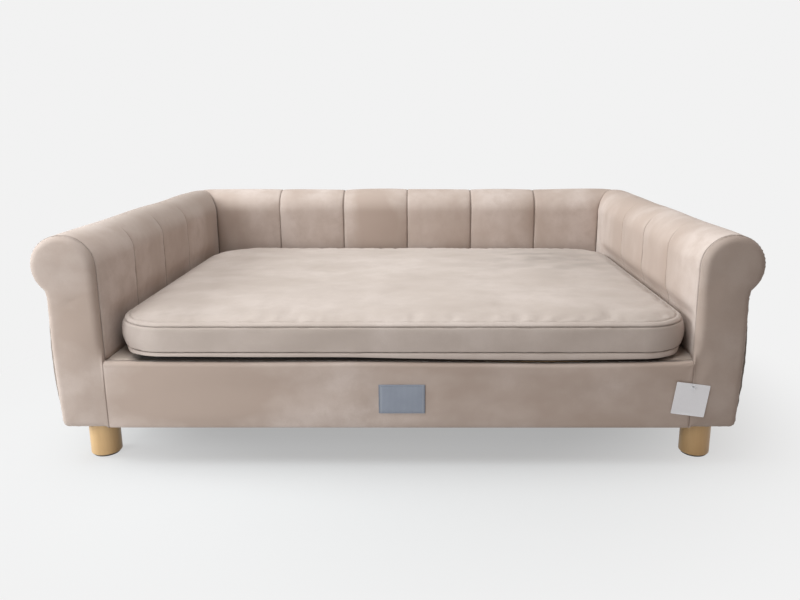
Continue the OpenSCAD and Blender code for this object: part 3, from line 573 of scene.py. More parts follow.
def arm_front(side):
    edge, rounding = arm_outline()
    low_rows = under + np.array([0, 0.0002, 0.0008, 0.0018, 0.0032, 0.005, 0.007, 0.0098, 0.0130])
    neck_rows = [0.2600, 0.2622, 0.2637, neck, 0.2661, 0.2685, 0.2720, 0.2753, 0.278]
    rows = np.concatenate([low_rows, np.linspace(0.08, 0.2565, 31), neck_rows, np.linspace(0.2815, roll_z, 7),
                           roll_z + roll_r * np.sin(np.linspace(0, math.pi / 2, 24)[1:])])
    points = []
    near = np.array([0, 0.00015, 0.0006, 0.0015, 0.0028, 0.0046, 0.0068, 0.0094, 0.0125])
    for z in rows:
        if z <= 0.2753:
            left, right = 0.0, float(arm_side(z)) + (0.0020 * (z - neck) / (0.2753 - neck) if z > neck else 0)
            if z < under + toe_r:
                right -= toe_r - math.sqrt(max(0, toe_r ** 2 - (under + toe_r - z) ** 2))
        else:
            half = math.sqrt(max(0, roll_r ** 2 - (z - roll_z) ** 2))
            left, right = (0.0 if z < roll_z else roll_r - half), roll_r + half
        width = right - left
        steps = near * min(1, width / 0.03)
        cuts = np.concatenate([steps, np.linspace(steps[-1], width - steps[-1], 11)[1:-1], (width - steps)[::-1]])
        points += [(left + c, z) for c in cuts]
    points = np.array(points)
    columns = len(cuts)
    gap = np.hypot(points[:, None, 0] - edge[None, :, 0], points[:, None, 1] - edge[None, :, 1])
    nearest = gap.argmin(1)
    away, ease = gap.min(1), rounding[nearest]
    ring = np.zeros((len(rows), columns), bool)
    ring[0], ring[-1], ring[:, 0], ring[:, -1] = True, True, True, True
    away[ring.ravel()] = 0
    drop = np.where(away < ease, ease - np.sqrt(np.maximum(0, ease ** 2 - (ease - away) ** 2)), 0)
    crown = 0.0022 * np.clip(away / 0.03, 0, 1) ** 0.8
    folds = 0.0016 * wander(np.column_stack([points, points[:, 0] * 0]), 0.05, 7.0 * side) * np.clip(away / 0.012, 0, 1)
    if side < 0:
        along = ((points[:, 0] - 0.038) * 0.876 + (points[:, 1] - 0.2586) * -0.483)
        across = ((points[:, 0] - 0.038) * 0.483 + (points[:, 1] - 0.2586) * 0.876)
        folds -= 0.0011 * np.exp(-(across / 0.0045) ** 2) * np.exp(-(along / 0.016) ** 2)
    pull = np.hypot(points[:, 0] - 0.0, points[:, 1] - 0.163)
    tuck = -0.0024 * np.exp(-(pull / 0.022) ** 2) * np.clip(away / 0.003, 0, 1)
    y = front_y + drop - flat_by_the_tag(side * (seam_x + points[:, 0]), points[:, 1], crown + folds + tuck)
    front = np.column_stack([side * (seam_x + points[:, 0]), y, points[:, 1]])
    back = np.column_stack([side * (seam_x + points[:, 0]), np.full(len(points), front_y + face_t), points[:, 1]])
    count = len(front)
    rim = border_round(len(rows), columns)
    middle = np.array([seam_x * side + side * 0.036, 0, 0.2])
    in_plane = np.array([1, 0, 1])
    inward = (middle - front[rim]) * in_plane
    inward = inward / np.linalg.norm(inward, axis=1)[:, None]
    belt = [front[rim] * in_plane + inward * inset + np.array([0, front_y + depth, 0])
            for depth, inset in ((0.0107, 0.0), (0.0113, 0.0003))]
    back[rim] = back[rim] + inward * 0.0012
    verts = np.concatenate([front, back, *belt])
    faces = grid_faces(len(rows), columns)
    faces += [tuple(i + count for i in face) for face in faces]
    size = len(rim)
    first, second = 2 * count, 2 * count + size
    for k in range(size):
        n = (k + 1) % size
        faces += [(rim[k], rim[n], first + n, first + k), (first + k, first + n, second + n, second + k),
                  (second + k, second + n, count + rim[n], count + rim[k])]
    # Painted shade in the seam round the edge and on the back's rim.
    sewn = np.concatenate([np.zeros(count), np.zeros(count), np.zeros(size), np.full(size, 0.06)])
    sewn[[count + i for i in rim]] = 0.15
    # Painted shade: darker over the whole front, more on the right arm than the left, and more towards the roll's top.
    brushed = (0.18 if side < 0 else 0.4) + 0.22 * np.clip((verts[:, 2] - 0.23) / 0.08, 0, 1)
    made = shell("arm_front_" + ("left" if side < 0 else "right"), verts, faces, front_velvet, "frame", "velvet",
                 sewn=sewn, brushed=brushed)
    face_outward(made.data, 0.00002)
    return made


for side, name in ((-1, "left"), (1, "right")):
    pad = arm_front(side)
    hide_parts("arm_front_pad_" + name)


# The front rail's pad is a long flat cushion of the same velvet, rolled over the rail's top
# edge. It is pulled in where it meets the arms, so soft tucks run out of its upper corners.
def front_rail_cover():
    low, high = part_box("front_rail_pad")
    edge = 0.006
    turn = np.linspace(0, math.pi / 2, 11)
    length = high[0] - low[0]
    ways = marks(length, 0.008)
    pressed_at = [-0.44, -0.373, -0.223, -0.073, 0.076, 0.226, 0.375, 0.44]
    pressed_by = [0, -0.0004, -0.0010, 0.0000, -0.0016, -0.003, -0.0012, 0]
    verts, sewn = [], []
    for way in ways:
        near = min(way, length - way)
        ends = 1 - math.exp(-(near / 0.0016) ** 1.2)
        top = high[2] + float(np.interp(low[0] + way, pressed_at, pressed_by))
        profile = [(front_y + face_t, under + 0.0003), (front_y + 0.004, under), (front_y + 0.002, under + 0.0005),
                   (front_y + 0.0007, under + 0.0017), (front_y, under + 0.0042)]
        profile += [(front_y, z) for z in np.linspace(under + 0.009, top - edge - 0.002, 20)]
        profile += [(front_y + edge - edge * math.cos(a), top - edge + edge * math.sin(a)) for a in turn]
        profile += [(front_y + face_t, top - 0.0003), (front_y + face_t, top - 0.004), (front_y + face_t, 0.11)]
        for y, z in profile:
            out = -0.0010 * (1 - ends)
            soft = np.clip((z - under) / 0.02, 0, 1) * np.clip((top - z) / 0.03, 0, 1)
            out += soft * 0.0012 * np.clip(near / 0.08, 0, 1)
            out += 0.0026 * soft * ends * noise.noise(Vector((way / 0.13, z / 0.05, 1.3)))
            behind_patch = max(abs(low[0] + way - 0.0055) / 0.035, abs(z - 0.109) / 0.023)
            out = out if behind_patch > 2.2 else min(out, 0.0001 + 0.0022 * max(0, behind_patch - 1.1))
            corner = math.hypot(near, (z - top) * 1.3)
            spoke = math.atan2(top - z, near + 1e-4)
            folds = noise.noise(Vector((spoke * 3.2, 4.1 + (way > length / 2), corner / 0.05)))
            out += 0.0026 * math.exp(-corner / 0.02) * folds * ends
            out = float(flat_by_the_tag(low[0] + way, z, out))
            flat = y > front_y + 0.009 and z < top - 0.002
            verts.append((low[0] + way, y if flat else y - out, z))
            # Painted shade: the rail's top behind its edge, under the mattress's lip, is darkened, fading out towards
            # the arms; painted shade also lines the seams at the ends.
            lip_shade = 1.35 * float(np.clip((y - front_y - 0.0042) / 0.002, 0, 1)) if z > top - 0.005 else 0
            lip_shade *= float(np.interp(low[0] + way, [-0.405, -0.385, 0.41, 0.43], [0, 1, 1, 0]))
            sewn.append(max(lip_shade, 0 if flat else 0.2 * math.exp(-(near / 0.0008) ** 2)))
    count = len(profile)
    return shell("front_rail_cover", verts, tube_faces(len(ways), count), front_velvet, "frame", "velvet", sewn=sewn)


pad = front_rail_cover()
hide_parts("front_rail_pad")


# The outer covers are velvet over thin wadding, drawn tight over the hardboard, tacked under
# the roll and under the frame, and sewn together down the back corners. They swell a little.
outer_velvet = velvet("velvet_outer", (0.53, 0.445, 0.39, 1), (0.42, 0.34, 0.29, 1), (1.0, 1.0, 1.6))
cover_top, corner_at = 0.2699, 0.01728
corner_r = arm_t - corner_at


def cover(name, places, normals, seams, seed, full_edge=0.0):
    """A cover from places along its foot in plan, with its outward normals and its seams' places."""
    heights = np.concatenate([under + np.array([0, 0.0002, 0.0009, 0.002, 0.0036]),
                              np.linspace(under + 0.008, cover_top - 0.006, 26),
                              cover_top - np.array([0.0035, 0.0015, 0])])
    way = np.concatenate([[0], np.cumsum(np.hypot(*np.diff(places, axis=0).T))])
    verts, sewn = [], []
    for place, normal, s in zip(places, normals, way):
        near = min([abs(s - at) for at in seams] + [1.0])
        # Painted shade along the seams, and in a band about a centimetre wide behind the arm front's edge where the
        # cover swells out.
        sewn_share = math.exp(-(near / (0.009 if full_edge and s < 0.03 else 0.0014)) ** 2)
        for z in heights:
            swell = math.sin(math.pi * (z - under) / (cover_top - under)) ** 0.8 * (1 - math.exp(-near / 0.03))
            tall = math.sin(math.pi * (z - under) / (cover_top - under))
            out = 0.0034 * swell - 0.0012 * sewn_share + full_edge * max(0, tall) ** 0.7 * math.exp(-(s / 0.035) ** 2)
            out -= 0.003 - math.sqrt(max(0, 0.003 ** 2 - max(0, under + 0.003 - z) ** 2))
            out += 0.0024 * swell * noise.noise(Vector((s / 0.12, z / 0.07, seed)))
            out += 0.0014 * math.exp(-near / 0.012) * noise.noise(Vector((z / 0.013, seed, 2.0)))
            verts.append((place[0] + normal[0] * out, place[1] + normal[1] * out, z))
            sewn.append(0.8 * sewn_share)
        for z in (cover_top, 0.16, under):
            verts.append((place[0] - normal[0] * 0.0032, place[1] - normal[1] * 0.0032, z))
            sewn.append(0)
    count = len(heights) + 3
    made = shell(name, verts, tube_faces(len(places), count), outer_velvet, "frame", "velvet", sewn=sewn)
    return made


corner_x, corner_y = seam_x + corner_at, seam_y + corner_at
for side, name in ((-1, "left"), (1, "right")):
    length = corner_y - pad_front
    run = [((seam_x + arm_t) * side, pad_front + way) for way in marks(length, 0.008)[:-8]]
    bend = np.linspace(0, math.pi / 4, 12)
    round_it = [(side * (corner_x + corner_r * math.cos(a)), corner_y + corner_r * math.sin(a)) for a in bend]
    places = np.array(run + round_it)
    facing = np.array([(side, 0)] * len(run) + [(side * math.cos(a), math.sin(a)) for a in bend])
    made = cover("arm_cover_" + name, places, facing, [0, length + corner_r * math.pi / 4], 3.0 * side, 0.0092)
    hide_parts("arm_outer_cover_" + name)
bend = np.linspace(math.pi / 4, math.pi / 2, 12)
right = [(corner_x + corner_r * math.cos(a), corner_y + corner_r * math.sin(a), math.cos(a), math.sin(a)) for a in bend]
flat = [(x, seam_y + arm_t, 0, 1) for x in np.linspace(corner_x, -corner_x, 120)[1:-1]]
way = np.array(right + flat + [(-x, y, -nx, ny) for x, y, nx, ny in right[::-1]])
total = np.hypot(*np.diff(way[:, :2], axis=0).T).sum()
made = cover("back_cover", way[:, :2], way[:, 2:], [0, total], 11.0)
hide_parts("back_outer_cover")


# Under the mattress the deck is covered with a brown woven platform cloth, drawn flat and stapled out of sight under
# the pads.
# Its brown is so dark that it is painted shade for the gap under the mattress. Strips in the sofa's colour are let in
# along the arms.
def woven(name, light, dark, threads, rough=0.9, side_strips=None):
    """A plain weave, threads being the number of them in a metre, with strips of another tone along its sides."""
    made, tree, shader = finish(name, {"Roughness": rough, "Specular IOR Level": 0.15, "Sheen Weight": 0.1})
    waves = [reckon(tree, "SINE", axis) for axis in parts_of(tree, spot(tree, (threads * math.pi,) * 3))]
    cross = reckon(tree, "ADD", *[reckon(tree, "MULTIPLY", waves[0], other) for other in waves[1:]])
    share = add(tree, "ShaderNodeMapRange", {"Value": cross, 1: -1.0, 2: 1.0}).outputs[0]
    uneven = speckle(tree, spot(tree), 60.0, 3)
    tone = blend(tree, share, dark, light)
    tone = blend(tree, ramp(tree, uneven, 0.4, 0.7, 0.35), tone, dark)
    if side_strips:
        # The strips fade into the dark middle over two centimetres, a painted shade.
        strip = ramp(tree, reckon(tree, "ABSOLUTE", parts_of(tree, on_piece(tree))[0]), 0.390, 0.410)
        tone = blend(tree, strip, tone, blend(tree, share, side_strips[1], side_strips[0]))
    paint(tree, shader, tone)
    relief(tree, shader, [(share, 0.0003, 0.5)])
    return made


deck_cloth = woven("platform_cloth", (0.07, 0.052, 0.041, 1), (0.038, 0.028, 0.021, 1), 900.0, 0.9,
                   ((0.5, 0.42, 0.365, 1), (0.4, 0.325, 0.275, 1)))


def closed_lines(lines):
    """Places and edges of closed lines in plan."""
    places, edges = [], []
    for line in lines:
        start = len(places)
        places += [Vector(p) for p in line]
        edges += [(start + i, start + (i + 1) % len(line)) for i in range(len(line))]
    return places, edges


def both_sides(faces, count):
    """A sheet's faces, the same on its other side, whose places come count later, and its walls."""
    sides = {(a, b): True for f in faces for a, b in zip(f, f[1:] + f[:1])}
    walls = [(b, a, a + count, b + count) for a, b in sides if (b, a) not in sides]
    return [tuple(f) for f in faces] + [tuple(i + count for i in reversed(f)) for f in faces] + walls


def flat_sheet(name, outline, holes, step, top, thick, material, body, slot, rise):
    """A thin sheet with this outline in plan, round holes of (x, y, radius), and gentle waves."""
    turns = np.linspace(0, 2 * math.pi, 40, endpoint=False)
    places, edges = closed_lines([outline] + [[(x + r * math.cos(a), y + r * math.sin(a)) for a in turns]
                                              for x, y, r in holes])
    low, high = np.min(outline, 0), np.max(outline, 0)

    def inside(x, y):
        crossed = False
        for (ax, ay), (bx, by) in zip(outline, outline[1:] + outline[:1]):
            if (ay > y) != (by > y) and x < (bx - ax) * (y - ay) / (by - ay) + ax:
                crossed = not crossed
        return crossed and all(math.hypot(x - hx, y - hy) > r for hx, hy, r in holes)

    for x in np.arange(low[0] + step / 2, high[0], step):
        for y in np.arange(low[1] + step / 2, high[1], step):
            if inside(x, y) and all(abs(math.hypot(x - hx, y - hy) - r) > step / 3 for hx, hy, r in holes):
                places.append(Vector((x, y)))
    verts, _, faces, *_ = geometry.delaunay_2d_cdt(places, edges, [], 0, 1e-7)
    faces = [f for f in faces if inside(*(sum((verts[i] for i in f), Vector((0, 0))) / 3))]
    heights = [top + rise(v.x, v.y) for v in verts]
    points = [(v.x, v.y, h) for v, h in zip(verts, heights)] + [(v.x, v.y, h - thick) for v, h in zip(verts, heights)]
    return shell(name, points, both_sides(faces, len(verts)), material, body, slot)


low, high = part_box("deck_cover")
deck_line = [(low[0] + 0.0005, low[1] + 0.0005), (high[0] - 0.0005, low[1] + 0.0005),
             (high[0] - 0.0005, high[1] - 0.0005), (low[0] + 0.0005, high[1] - 0.0005)]
sheet = flat_sheet("platform_cloth", deck_line, [], 0.016, 0.1660, 0.0012, deck_cloth, "frame", "deck_cloth",
                   lambda x, y: 0.0007 * noise.noise(Vector((x / 0.09, y / 0.05, 2))))
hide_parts("deck_cover")


# Black non-woven cloth closes the frame from below. It is cut out round the legs' washers,
# and held by staples along all four edges, between which it sags a little.
dust_black, tree, shader = finish("non_woven", {"Roughness": 0.9, "Specular IOR Level": 0.2})
dots = add(tree, "ShaderNodeTexVoronoi", {"Vector": spot(tree), "Scale": 420.0}, feature="F1").outputs["Distance"]
paint(tree, shader, blend(tree, dots, (0.012, 0.012, 0.013, 1), (0.035, 0.034, 0.034, 1)))
relief(tree, shader, [(dots, 0.0002, 0.4)])
leg_places = {"front_left": (-0.47, -0.3125), "front_right": (0.47, -0.3125),
              "back_left": (-0.47, 0.292), "back_right": (0.47, 0.292)}
low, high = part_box("dust_cloth")
bend = np.linspace(0, math.pi / 2, 8)
edge_r = high[0] - corner_x
dust_line = [(low[0], low[1]), (high[0], low[1])]
dust_line += [(corner_x + edge_r * math.cos(a), corner_y + edge_r * math.sin(a)) for a in bend]
dust_line += [(-corner_x - edge_r * math.sin(a), corner_y + edge_r * math.cos(a)) for a in bend]


def sag(x, y):
    edge = min(high[0] - abs(x), y - low[1], high[1] - y)
    leg = min(math.hypot(x - a, y - b) for a, b in leg_places.values())
    free = np.clip((edge - 0.02) / 0.05, 0, 1) * np.clip((leg - 0.035) / 0.04, 0, 1)
    return float(-0.0022 * free * (0.7 + noise.noise(Vector((x / 0.16, y / 0.1, 5)))))


sheet = flat_sheet("dust_cloth_sheet", dust_line, [(x, y, 0.0131) for x, y in leg_places.values()], 0.017,
                   under + 0.0007, 0.0006, dust_black, "frame", "dust_cloth", sag)
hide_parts("dust_cloth")


# Flat-crowned staples of galvanised wire hold the black cloth and the covers' turned edges.
# One staple is bent, and set out along the four edges.
def scatter(name, places, turns, sizes, shape, material, body):
    """Sets a small shape out at places, turned and sized, and makes one piece of them."""
    mesh = bpy.data.meshes.new(name)
    mesh.from_pydata([tuple(map(float, p)) for p in places], [], [])
    for key, values in (("turn", turns), ("size", sizes)):
        column = mesh.attributes.new(key, "FLOAT_VECTOR", "POINT").data
        column.foreach_set("vector", np.asarray(values, np.float32).ravel())
    seeds = bpy.data.objects.new(name + "_places", mesh)
    scene.collection.objects.link(seeds)
    tree = bpy.data.node_groups.new("set_out_" + name, "GeometryNodeTree")
    tree.interface.new_socket("Geometry", in_out="INPUT", socket_type="NodeSocketGeometry")
    shape_socket = tree.interface.new_socket("Shape", in_out="INPUT", socket_type="NodeSocketObject")
    finish_socket = tree.interface.new_socket("Finish", in_out="INPUT", socket_type="NodeSocketMaterial")
    tree.interface.new_socket("Geometry", in_out="OUTPUT", socket_type="NodeSocketGeometry")
    given = add(tree, "NodeGroupInput").outputs
    held = add(tree, "GeometryNodeObjectInfo", {"Object": given["Shape"]}).outputs["Geometry"]
    turn, size = [
        add(tree, "GeometryNodeInputNamedAttribute", {"Name": key},
            data_type="FLOAT_VECTOR").outputs["Attribute"]
        for key in ("turn", "size")]
    turned = add(tree, "FunctionNodeEulerToRotation", {0: turn}).outputs[0]
    dots = add(tree, "GeometryNodeMeshToPoints", {"Mesh": given["Geometry"]}).outputs["Points"]
    many = add(tree, "GeometryNodeInstanceOnPoints",
               {"Points": dots, "Instance": held, "Rotation": turned, "Scale": size})
    real = add(tree, "GeometryNodeRealizeInstances", {"Geometry": many.outputs["Instances"]}).outputs["Geometry"]
    painted = add(tree, "GeometryNodeSetMaterial", {"Geometry": real, "Material": given["Finish"]}).outputs["Geometry"]
    out = add(tree, "NodeGroupOutput")
    tree.links.new(painted, out.inputs[0])
    holder = bpy.data.objects.new(name + "_shape", shape)
    scene.collection.objects.link(holder)
    filler = seeds.modifiers.new("set_out", "NODES")
    filler.node_group = tree
    filler[shape_socket.identifier] = holder
    filler[finish_socket.identifier] = material
    seeds.update_tag()
    bpy.context.view_layer.update()
    evaluated = seeds.evaluated_get(bpy.context.evaluated_depsgraph_get())
    grown = bpy.data.meshes.new_from_object(evaluated)
    made = bpy.data.objects.new(name, grown)
    scene.collection.objects.link(made)
    for spent in (seeds, holder):
        bpy.data.objects.remove(spent)
    if not grown.materials:
        grown.materials.append(material)
    grown.polygons.foreach_set("use_smooth", [True] * len(grown.polygons))
    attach(made, body)
    return made


def small_mesh(name, points, faces):
    made = bpy.data.meshes.new(name)
    made.from_pydata([tuple(map(float, p)) for p in points], [], faces)
    face_outward(made)
    return made


def bent_wire(line, wide, tall):
    """A flat wire along a line of places, wide across it and tall."""
    points = []
    for i, (x, z) in enumerate(line):
        before, after = np.array(line[max(i - 1, 0)]), np.array(line[min(i + 1, len(line) - 1)])
        way = (after - before) / np.linalg.norm(after - before)
        side = np.array([-way[1], way[0]]) * tall / 2
        points += [(x + side[0], -wide / 2, z + side[1]), (x + side[0], wide / 2, z + side[1]),
                   (x - side[0], wide / 2, z - side[1]), (x - side[0], -wide / 2, z - side[1])]
    return small_mesh("wire", points, tube_faces(len(line), 4))


staple = bent_wire([(-0.0058, 0.0003), (-0.0058, 0.0001), (-0.0056, -0.0001), (-0.0050, -0.0002), (0, -0.00022),
                    (0.0050, -0.0002), (0.0056, -0.0001), (0.0058, 0.0001), (0.0058, 0.0003)], 0.0011, 0.0004)
staple_pitch = 0.068
rows = [(i * staple_pitch, y, 0) for y in (-0.3417, 0.3302) for i in range(-6, 7)]
rows += [(x, -0.3444 + (i + 1) * staple_pitch, math.pi / 2) for x in (-0.5037, 0.5037) for i in range(9)]
staples = scatter("staple_rows", [(x, y, under - 0.0005) for x, y, _ in rows], [(0, 0, a) for *_, a in rows],
                  [(1, 1, 1)] * len(rows), staple, zinc, "frame")
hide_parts("staples")


# The legs are short turned cylinders of clear-lacquered beech with eased edges, bored from above
# for the bolt, and each has a grey felt glide glued under it.
leg_beech, tree, shader, tone = wood("beech_lacquered", (0.71, 0.475, 0.24, 1), (0.57, 0.355, 0.16, 1), 2, 120.0)
shader.inputs["Roughness"].default_value = 0.42
shader.inputs["Coat Weight"].default_value = 0.25
shader.inputs["Coat Roughness"].default_value = 0.3
felt, tree, shader = finish("felt", {"Roughness": 0.95, "Specular IOR Level": 0.1, "Sheen Weight": 0.3})
tufts = speckle(tree, spot(tree), 900.0, 4, 0.7)
paint(tree, shader, blend(tree, tufts, (0.06, 0.055, 0.05, 1), (0.15, 0.14, 0.125, 1)))
relief(tree, shader, [(tufts, 0.0006, 0.8)])


def turned(name, profile, centre, material, body, slot, count=96):
    """A piece turned on a lathe from a profile of (radius, height), closed on its axis."""
    angles = np.linspace(0, 2 * math.pi, count, endpoint=False)
    inner = profile[1:-1]
    verts = [(centre[0] + r * math.cos(a), centre[1] + r * math.sin(a), z) for r, z in inner for a in angles]
    faces = grid_faces(len(inner), count, closed=True)
    for ring, (_, z) in ((0, profile[0]), (len(inner) - 1, profile[-1])):
        verts.append((centre[0], centre[1], z))
        faces += [(ring * count + j, ring * count + (j + 1) % count, len(verts) - 1) for j in range(count)]
    return shell(name, verts, faces, material, body, slot)


def eased(r, z, size, up):
    """A rounded edge of a turned piece, from its side (r, z) to its end."""
    return [(r - size + size * math.cos(a), z + up * size * (math.sin(a) - 1)) for a in np.linspace(0, math.pi / 2, 7)]


leg_top, leg_r, glide_r, glide_t = under - 0.001, 0.023, 0.02, 0.003
for corner in corners:
    place = leg_places[corner]
    bore = [(0, leg_top - 0.0253), (0.0020, leg_top - 0.0253), (0.0042, leg_top - 0.0250), (0.0042, leg_top - 0.0008),
            (0.0047, leg_top)]
    body = eased(leg_r, leg_top, 0.0012, 1)[::-1] + [(leg_r, z) for z in np.linspace(leg_top - 0.004, 0.007, 5)]
    body += eased(leg_r, glide_t, 0.0015, -1) + [(0.0, glide_t)]
    leg = turned("leg_turned_" + corner, bore + body, place, leg_beech, "leg_" + corner, "beech_leg")
    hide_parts("leg_" + corner)
    disc = [(0, glide_t), (glide_r - 0.0004, glide_t)] + eased(glide_r, glide_t, 0.0004, 1)[::-1]
    disc += eased(glide_r, 0.0, 0.0006, -1) + [(0.0, 0.0)]
    turned("glide_" + corner, disc, place, felt, "leg_" + corner, "beech_leg", 64)


# The mattress is a zipped velvet cover over a foam slab with fibre fill: a crowned top panel with
# a line of stitching beside its seam, an upright border, and an underside that curves up at its
# edges. The fill has settled into shallow dents, and the pile is brushed at the rear right.
bed_velvet = velvet("velvet_mattress", (0.552, 0.473, 0.430, 1), (0.446, 0.374, 0.33, 1), (1.2, 2.2, 1.0), 0.18)
bed_x, bed_side, bed_front, bed_back, lower_seam, upper_seam = 0.4355, 0.0050, -0.3555, 0.25, 0.1805, 0.22
belly_in, base_z, base_edge_z, panel_z = 0.0101, 0.1675, 0.1802, upper_seam + 0.0003
bed_middle, bed_deep = (bed_front + bed_back) / 2, (bed_back - bed_front) / 2


def bed_plan(x, y):
    """Moves places of a rectangle onto one with round corners; also gives their inset and which way they face."""
    y = y - bed_middle
    inset = np.maximum(0, np.minimum(bed_x - np.abs(x), bed_deep - np.abs(y)))
    round_r = np.maximum(np.where(y < 0, np.where(x < 0, 0.080, 0.074), np.where(x < 0, 0.100, 0.075)) - inset, 0.004)
    ax, ay = bed_x - inset, bed_deep - inset
    on_side = bed_x - np.abs(x) <= bed_deep - np.abs(y)
    from_corner = np.where(on_side, ay - np.abs(y), ax - np.abs(x))
    turn = np.clip(1 - from_corner / round_r, 0, 1) * math.pi / 4
    near, far = round_r * np.cos(turn), round_r * np.sin(turn)
    new_x = np.where(on_side, ax - round_r + near, ax - round_r + far)
    new_y = np.where(on_side, ay - round_r + far, ay - round_r + near)
    bent = from_corner < round_r
    facing = np.stack([np.sign(x) * np.where(on_side, np.cos(turn), np.sin(turn)),
                       np.sign(y) * np.where(on_side, np.sin(turn), np.cos(turn))], 1)
    return (bed_side + np.sign(x) * np.where(bent, new_x, np.abs(x)),
            bed_middle + np.sign(y) * np.where(bent, new_y, np.abs(y)), inset, facing)


def bed_grid(step):
    near = np.array([0, 0.0005, 0.0013, 0.0025, 0.0042, 0.0060, 0.0071, 0.0080, 0.0089, belly_in, 0.0122, 0.0155,
                     0.0205, 0.028])
    spans = []
    for low, high in ((-bed_x, bed_x), (bed_front, bed_back)):
        inner = np.linspace(low + near[-1], high - near[-1], int((high - low - 2 * near[-1]) / step) + 1)
        spans.append(np.concatenate([low + near[:-1], inner, (high - near[:-1])[::-1]]))
    xs, ys = np.meshgrid(*spans)
    return bed_plan(xs.ravel(), ys.ravel()), len(spans[1]), len(spans[0])


def turned_in(px, py, rows, columns, narrower, z):
    """The edge of a panel in order, its turning inside the seam, and the faces of both."""
    edge, count = border_round(rows, columns), len(px)
    turning = np.array([(bed_side + (px[i] - bed_side) * narrower[0],
                         bed_middle + (py[i] - bed_middle) * narrower[1], z) for i in edge])
    faces = grid_faces(rows, columns) + [list(range(count, count + len(edge)))]
    faces += [(edge[k], edge[(k + 1) % len(edge)], count + (k + 1) % len(edge), count + k) for k in range(len(edge))]
    return edge, turning, faces


def settle(piece, pinned, pressure, cap):
    """Lets a soft piece find its shape as cloth blown up a little, no place moving farther than cap."""
    mesh = piece.data
    before = vertex_values(mesh)
    pins = piece.vertex_groups.new(name="pins")
    for index in range(len(before)):
        pins.add([index], float(pinned[index]), "REPLACE")
    cloth = piece.modifiers.new("cloth", "CLOTH")
    for key, value in {"quality": 5, "mass": 0.25, "tension_stiffness": 18, "compression_stiffness": 18,
                       "shear_stiffness": 6, "bending_stiffness": 0.25, "vertex_group_mass": "pins",
                       "shrink_min": -0.035, "use_pressure": True, "uniform_pressure_force": pressure}.items():
        setattr(cloth.settings, key, value)
    cloth.settings.effector_weights.gravity = 0
    cloth.collision_settings.use_collision = False
    last_frame = 24
    cloth.point_cache.frame_start, cloth.point_cache.frame_end = 1, last_frame
    for step in range(1, last_frame + 1):
        scene.frame_set(step)
    evaluated = piece.evaluated_get(bpy.context.evaluated_depsgraph_get())
    moved = vertex_values(evaluated.data) - before
    far = np.linalg.norm(moved, axis=1)
    moved *= (cap * np.tanh(far / cap) / np.maximum(far, 1e-9))[:, None]
    piece.modifiers.remove(cloth)
    piece.vertex_groups.remove(pins)
    scene.frame_set(1)
    mesh.vertices.foreach_set("co", (before + moved).ravel())
    mesh.update()


(bed_px, bed_py, inset, facing), rows, columns = bed_grid(0.0085)
share = np.clip(inset / (0.66 * bed_deep), 0, 1)
crown = 0.018 * (1 - (1 - share) ** 2) ** 0.45
groove = np.exp(-((inset - 0.0080) / 0.0013) ** 2)
roll = np.exp(-((inset - 0.0042) / 0.0028) ** 2)
places = np.column_stack([bed_px, bed_py, inset * 0])
dents = 0.0032 * wander(places, 0.15, 4.0) + 0.0016 * wander(places * np.array([1, 2.2, 1]), 0.07, 8.0)
creases = -0.0016 * np.exp(-(wander(places * np.array([1, 4.0, 1]), 0.16, 31.0) / 0.035) ** 2)
pulls = 0.0011 * np.exp(-np.abs(inset - 0.012) / 0.010) * wander(places, 0.016, 12.0)
inside = np.clip((inset - 0.010) / 0.03, 0, 1)
top_z = panel_z + crown + inside * (dents + creases) + pulls - 0.0018 * groove + 0.0006 * roll
worn = 0.0012 + 0.0036 * np.clip((bed_px - 0.10) / 0.25, 0, 1) * np.clip((bed_py + 0.02) / 0.20, 0, 1)
top_z = top_z - worn * np.clip((inset - 0.008) / 0.04, 0, 1)
top_z[inset <= 0] = panel_z
upper = np.column_stack([bed_px, bed_py, top_z])
edge, skirt, faces = turned_in(bed_px, bed_py, rows, columns, (0.997, 0.996), panel_z)
streaky = wander(places @ np.array([[0.9, -0.44, 0], [0.44, 0.9, 0], [0, 0, 1]]) * np.array([1, 3.6, 1]), 0.11, 17.0)
streaky = streaky + 0.5 * wander(places, 0.035, 23.0)
rub_and_shade = np.clip(1.1 * streaky + 0.55, 0.2, 0.85)
rub_and_shade = rub_and_shade * np.exp(-(((bed_px - 0.30) / 0.15) ** 2 + ((bed_py - 0.09) / 0.13) ** 2))
rub_and_shade = rub_and_shade + 0.3 * np.clip((bed_px - 0.22) / 0.15, 0, 1)
# Painted shade in the groove of the stitching and along the seam.
sewn = 0.11 * groove + 0.22 * (inset <= 0.0004)
top = shell("mattress_top", np.concatenate([upper, skirt]), faces, bed_velvet, "mattress", "velvet",
            sewn=np.concatenate([sewn, np.ones(len(edge))]), brushed=np.concatenate([rub_and_shade, 0 * skirt[:, 0]]))
pinned = np.concatenate([np.clip(1 - (inset - 0.010) / 0.012, 0, 1), np.ones(len(edge))])
settle(top, pinned, 3.0, 0.0030)
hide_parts("mattress_top_panel")

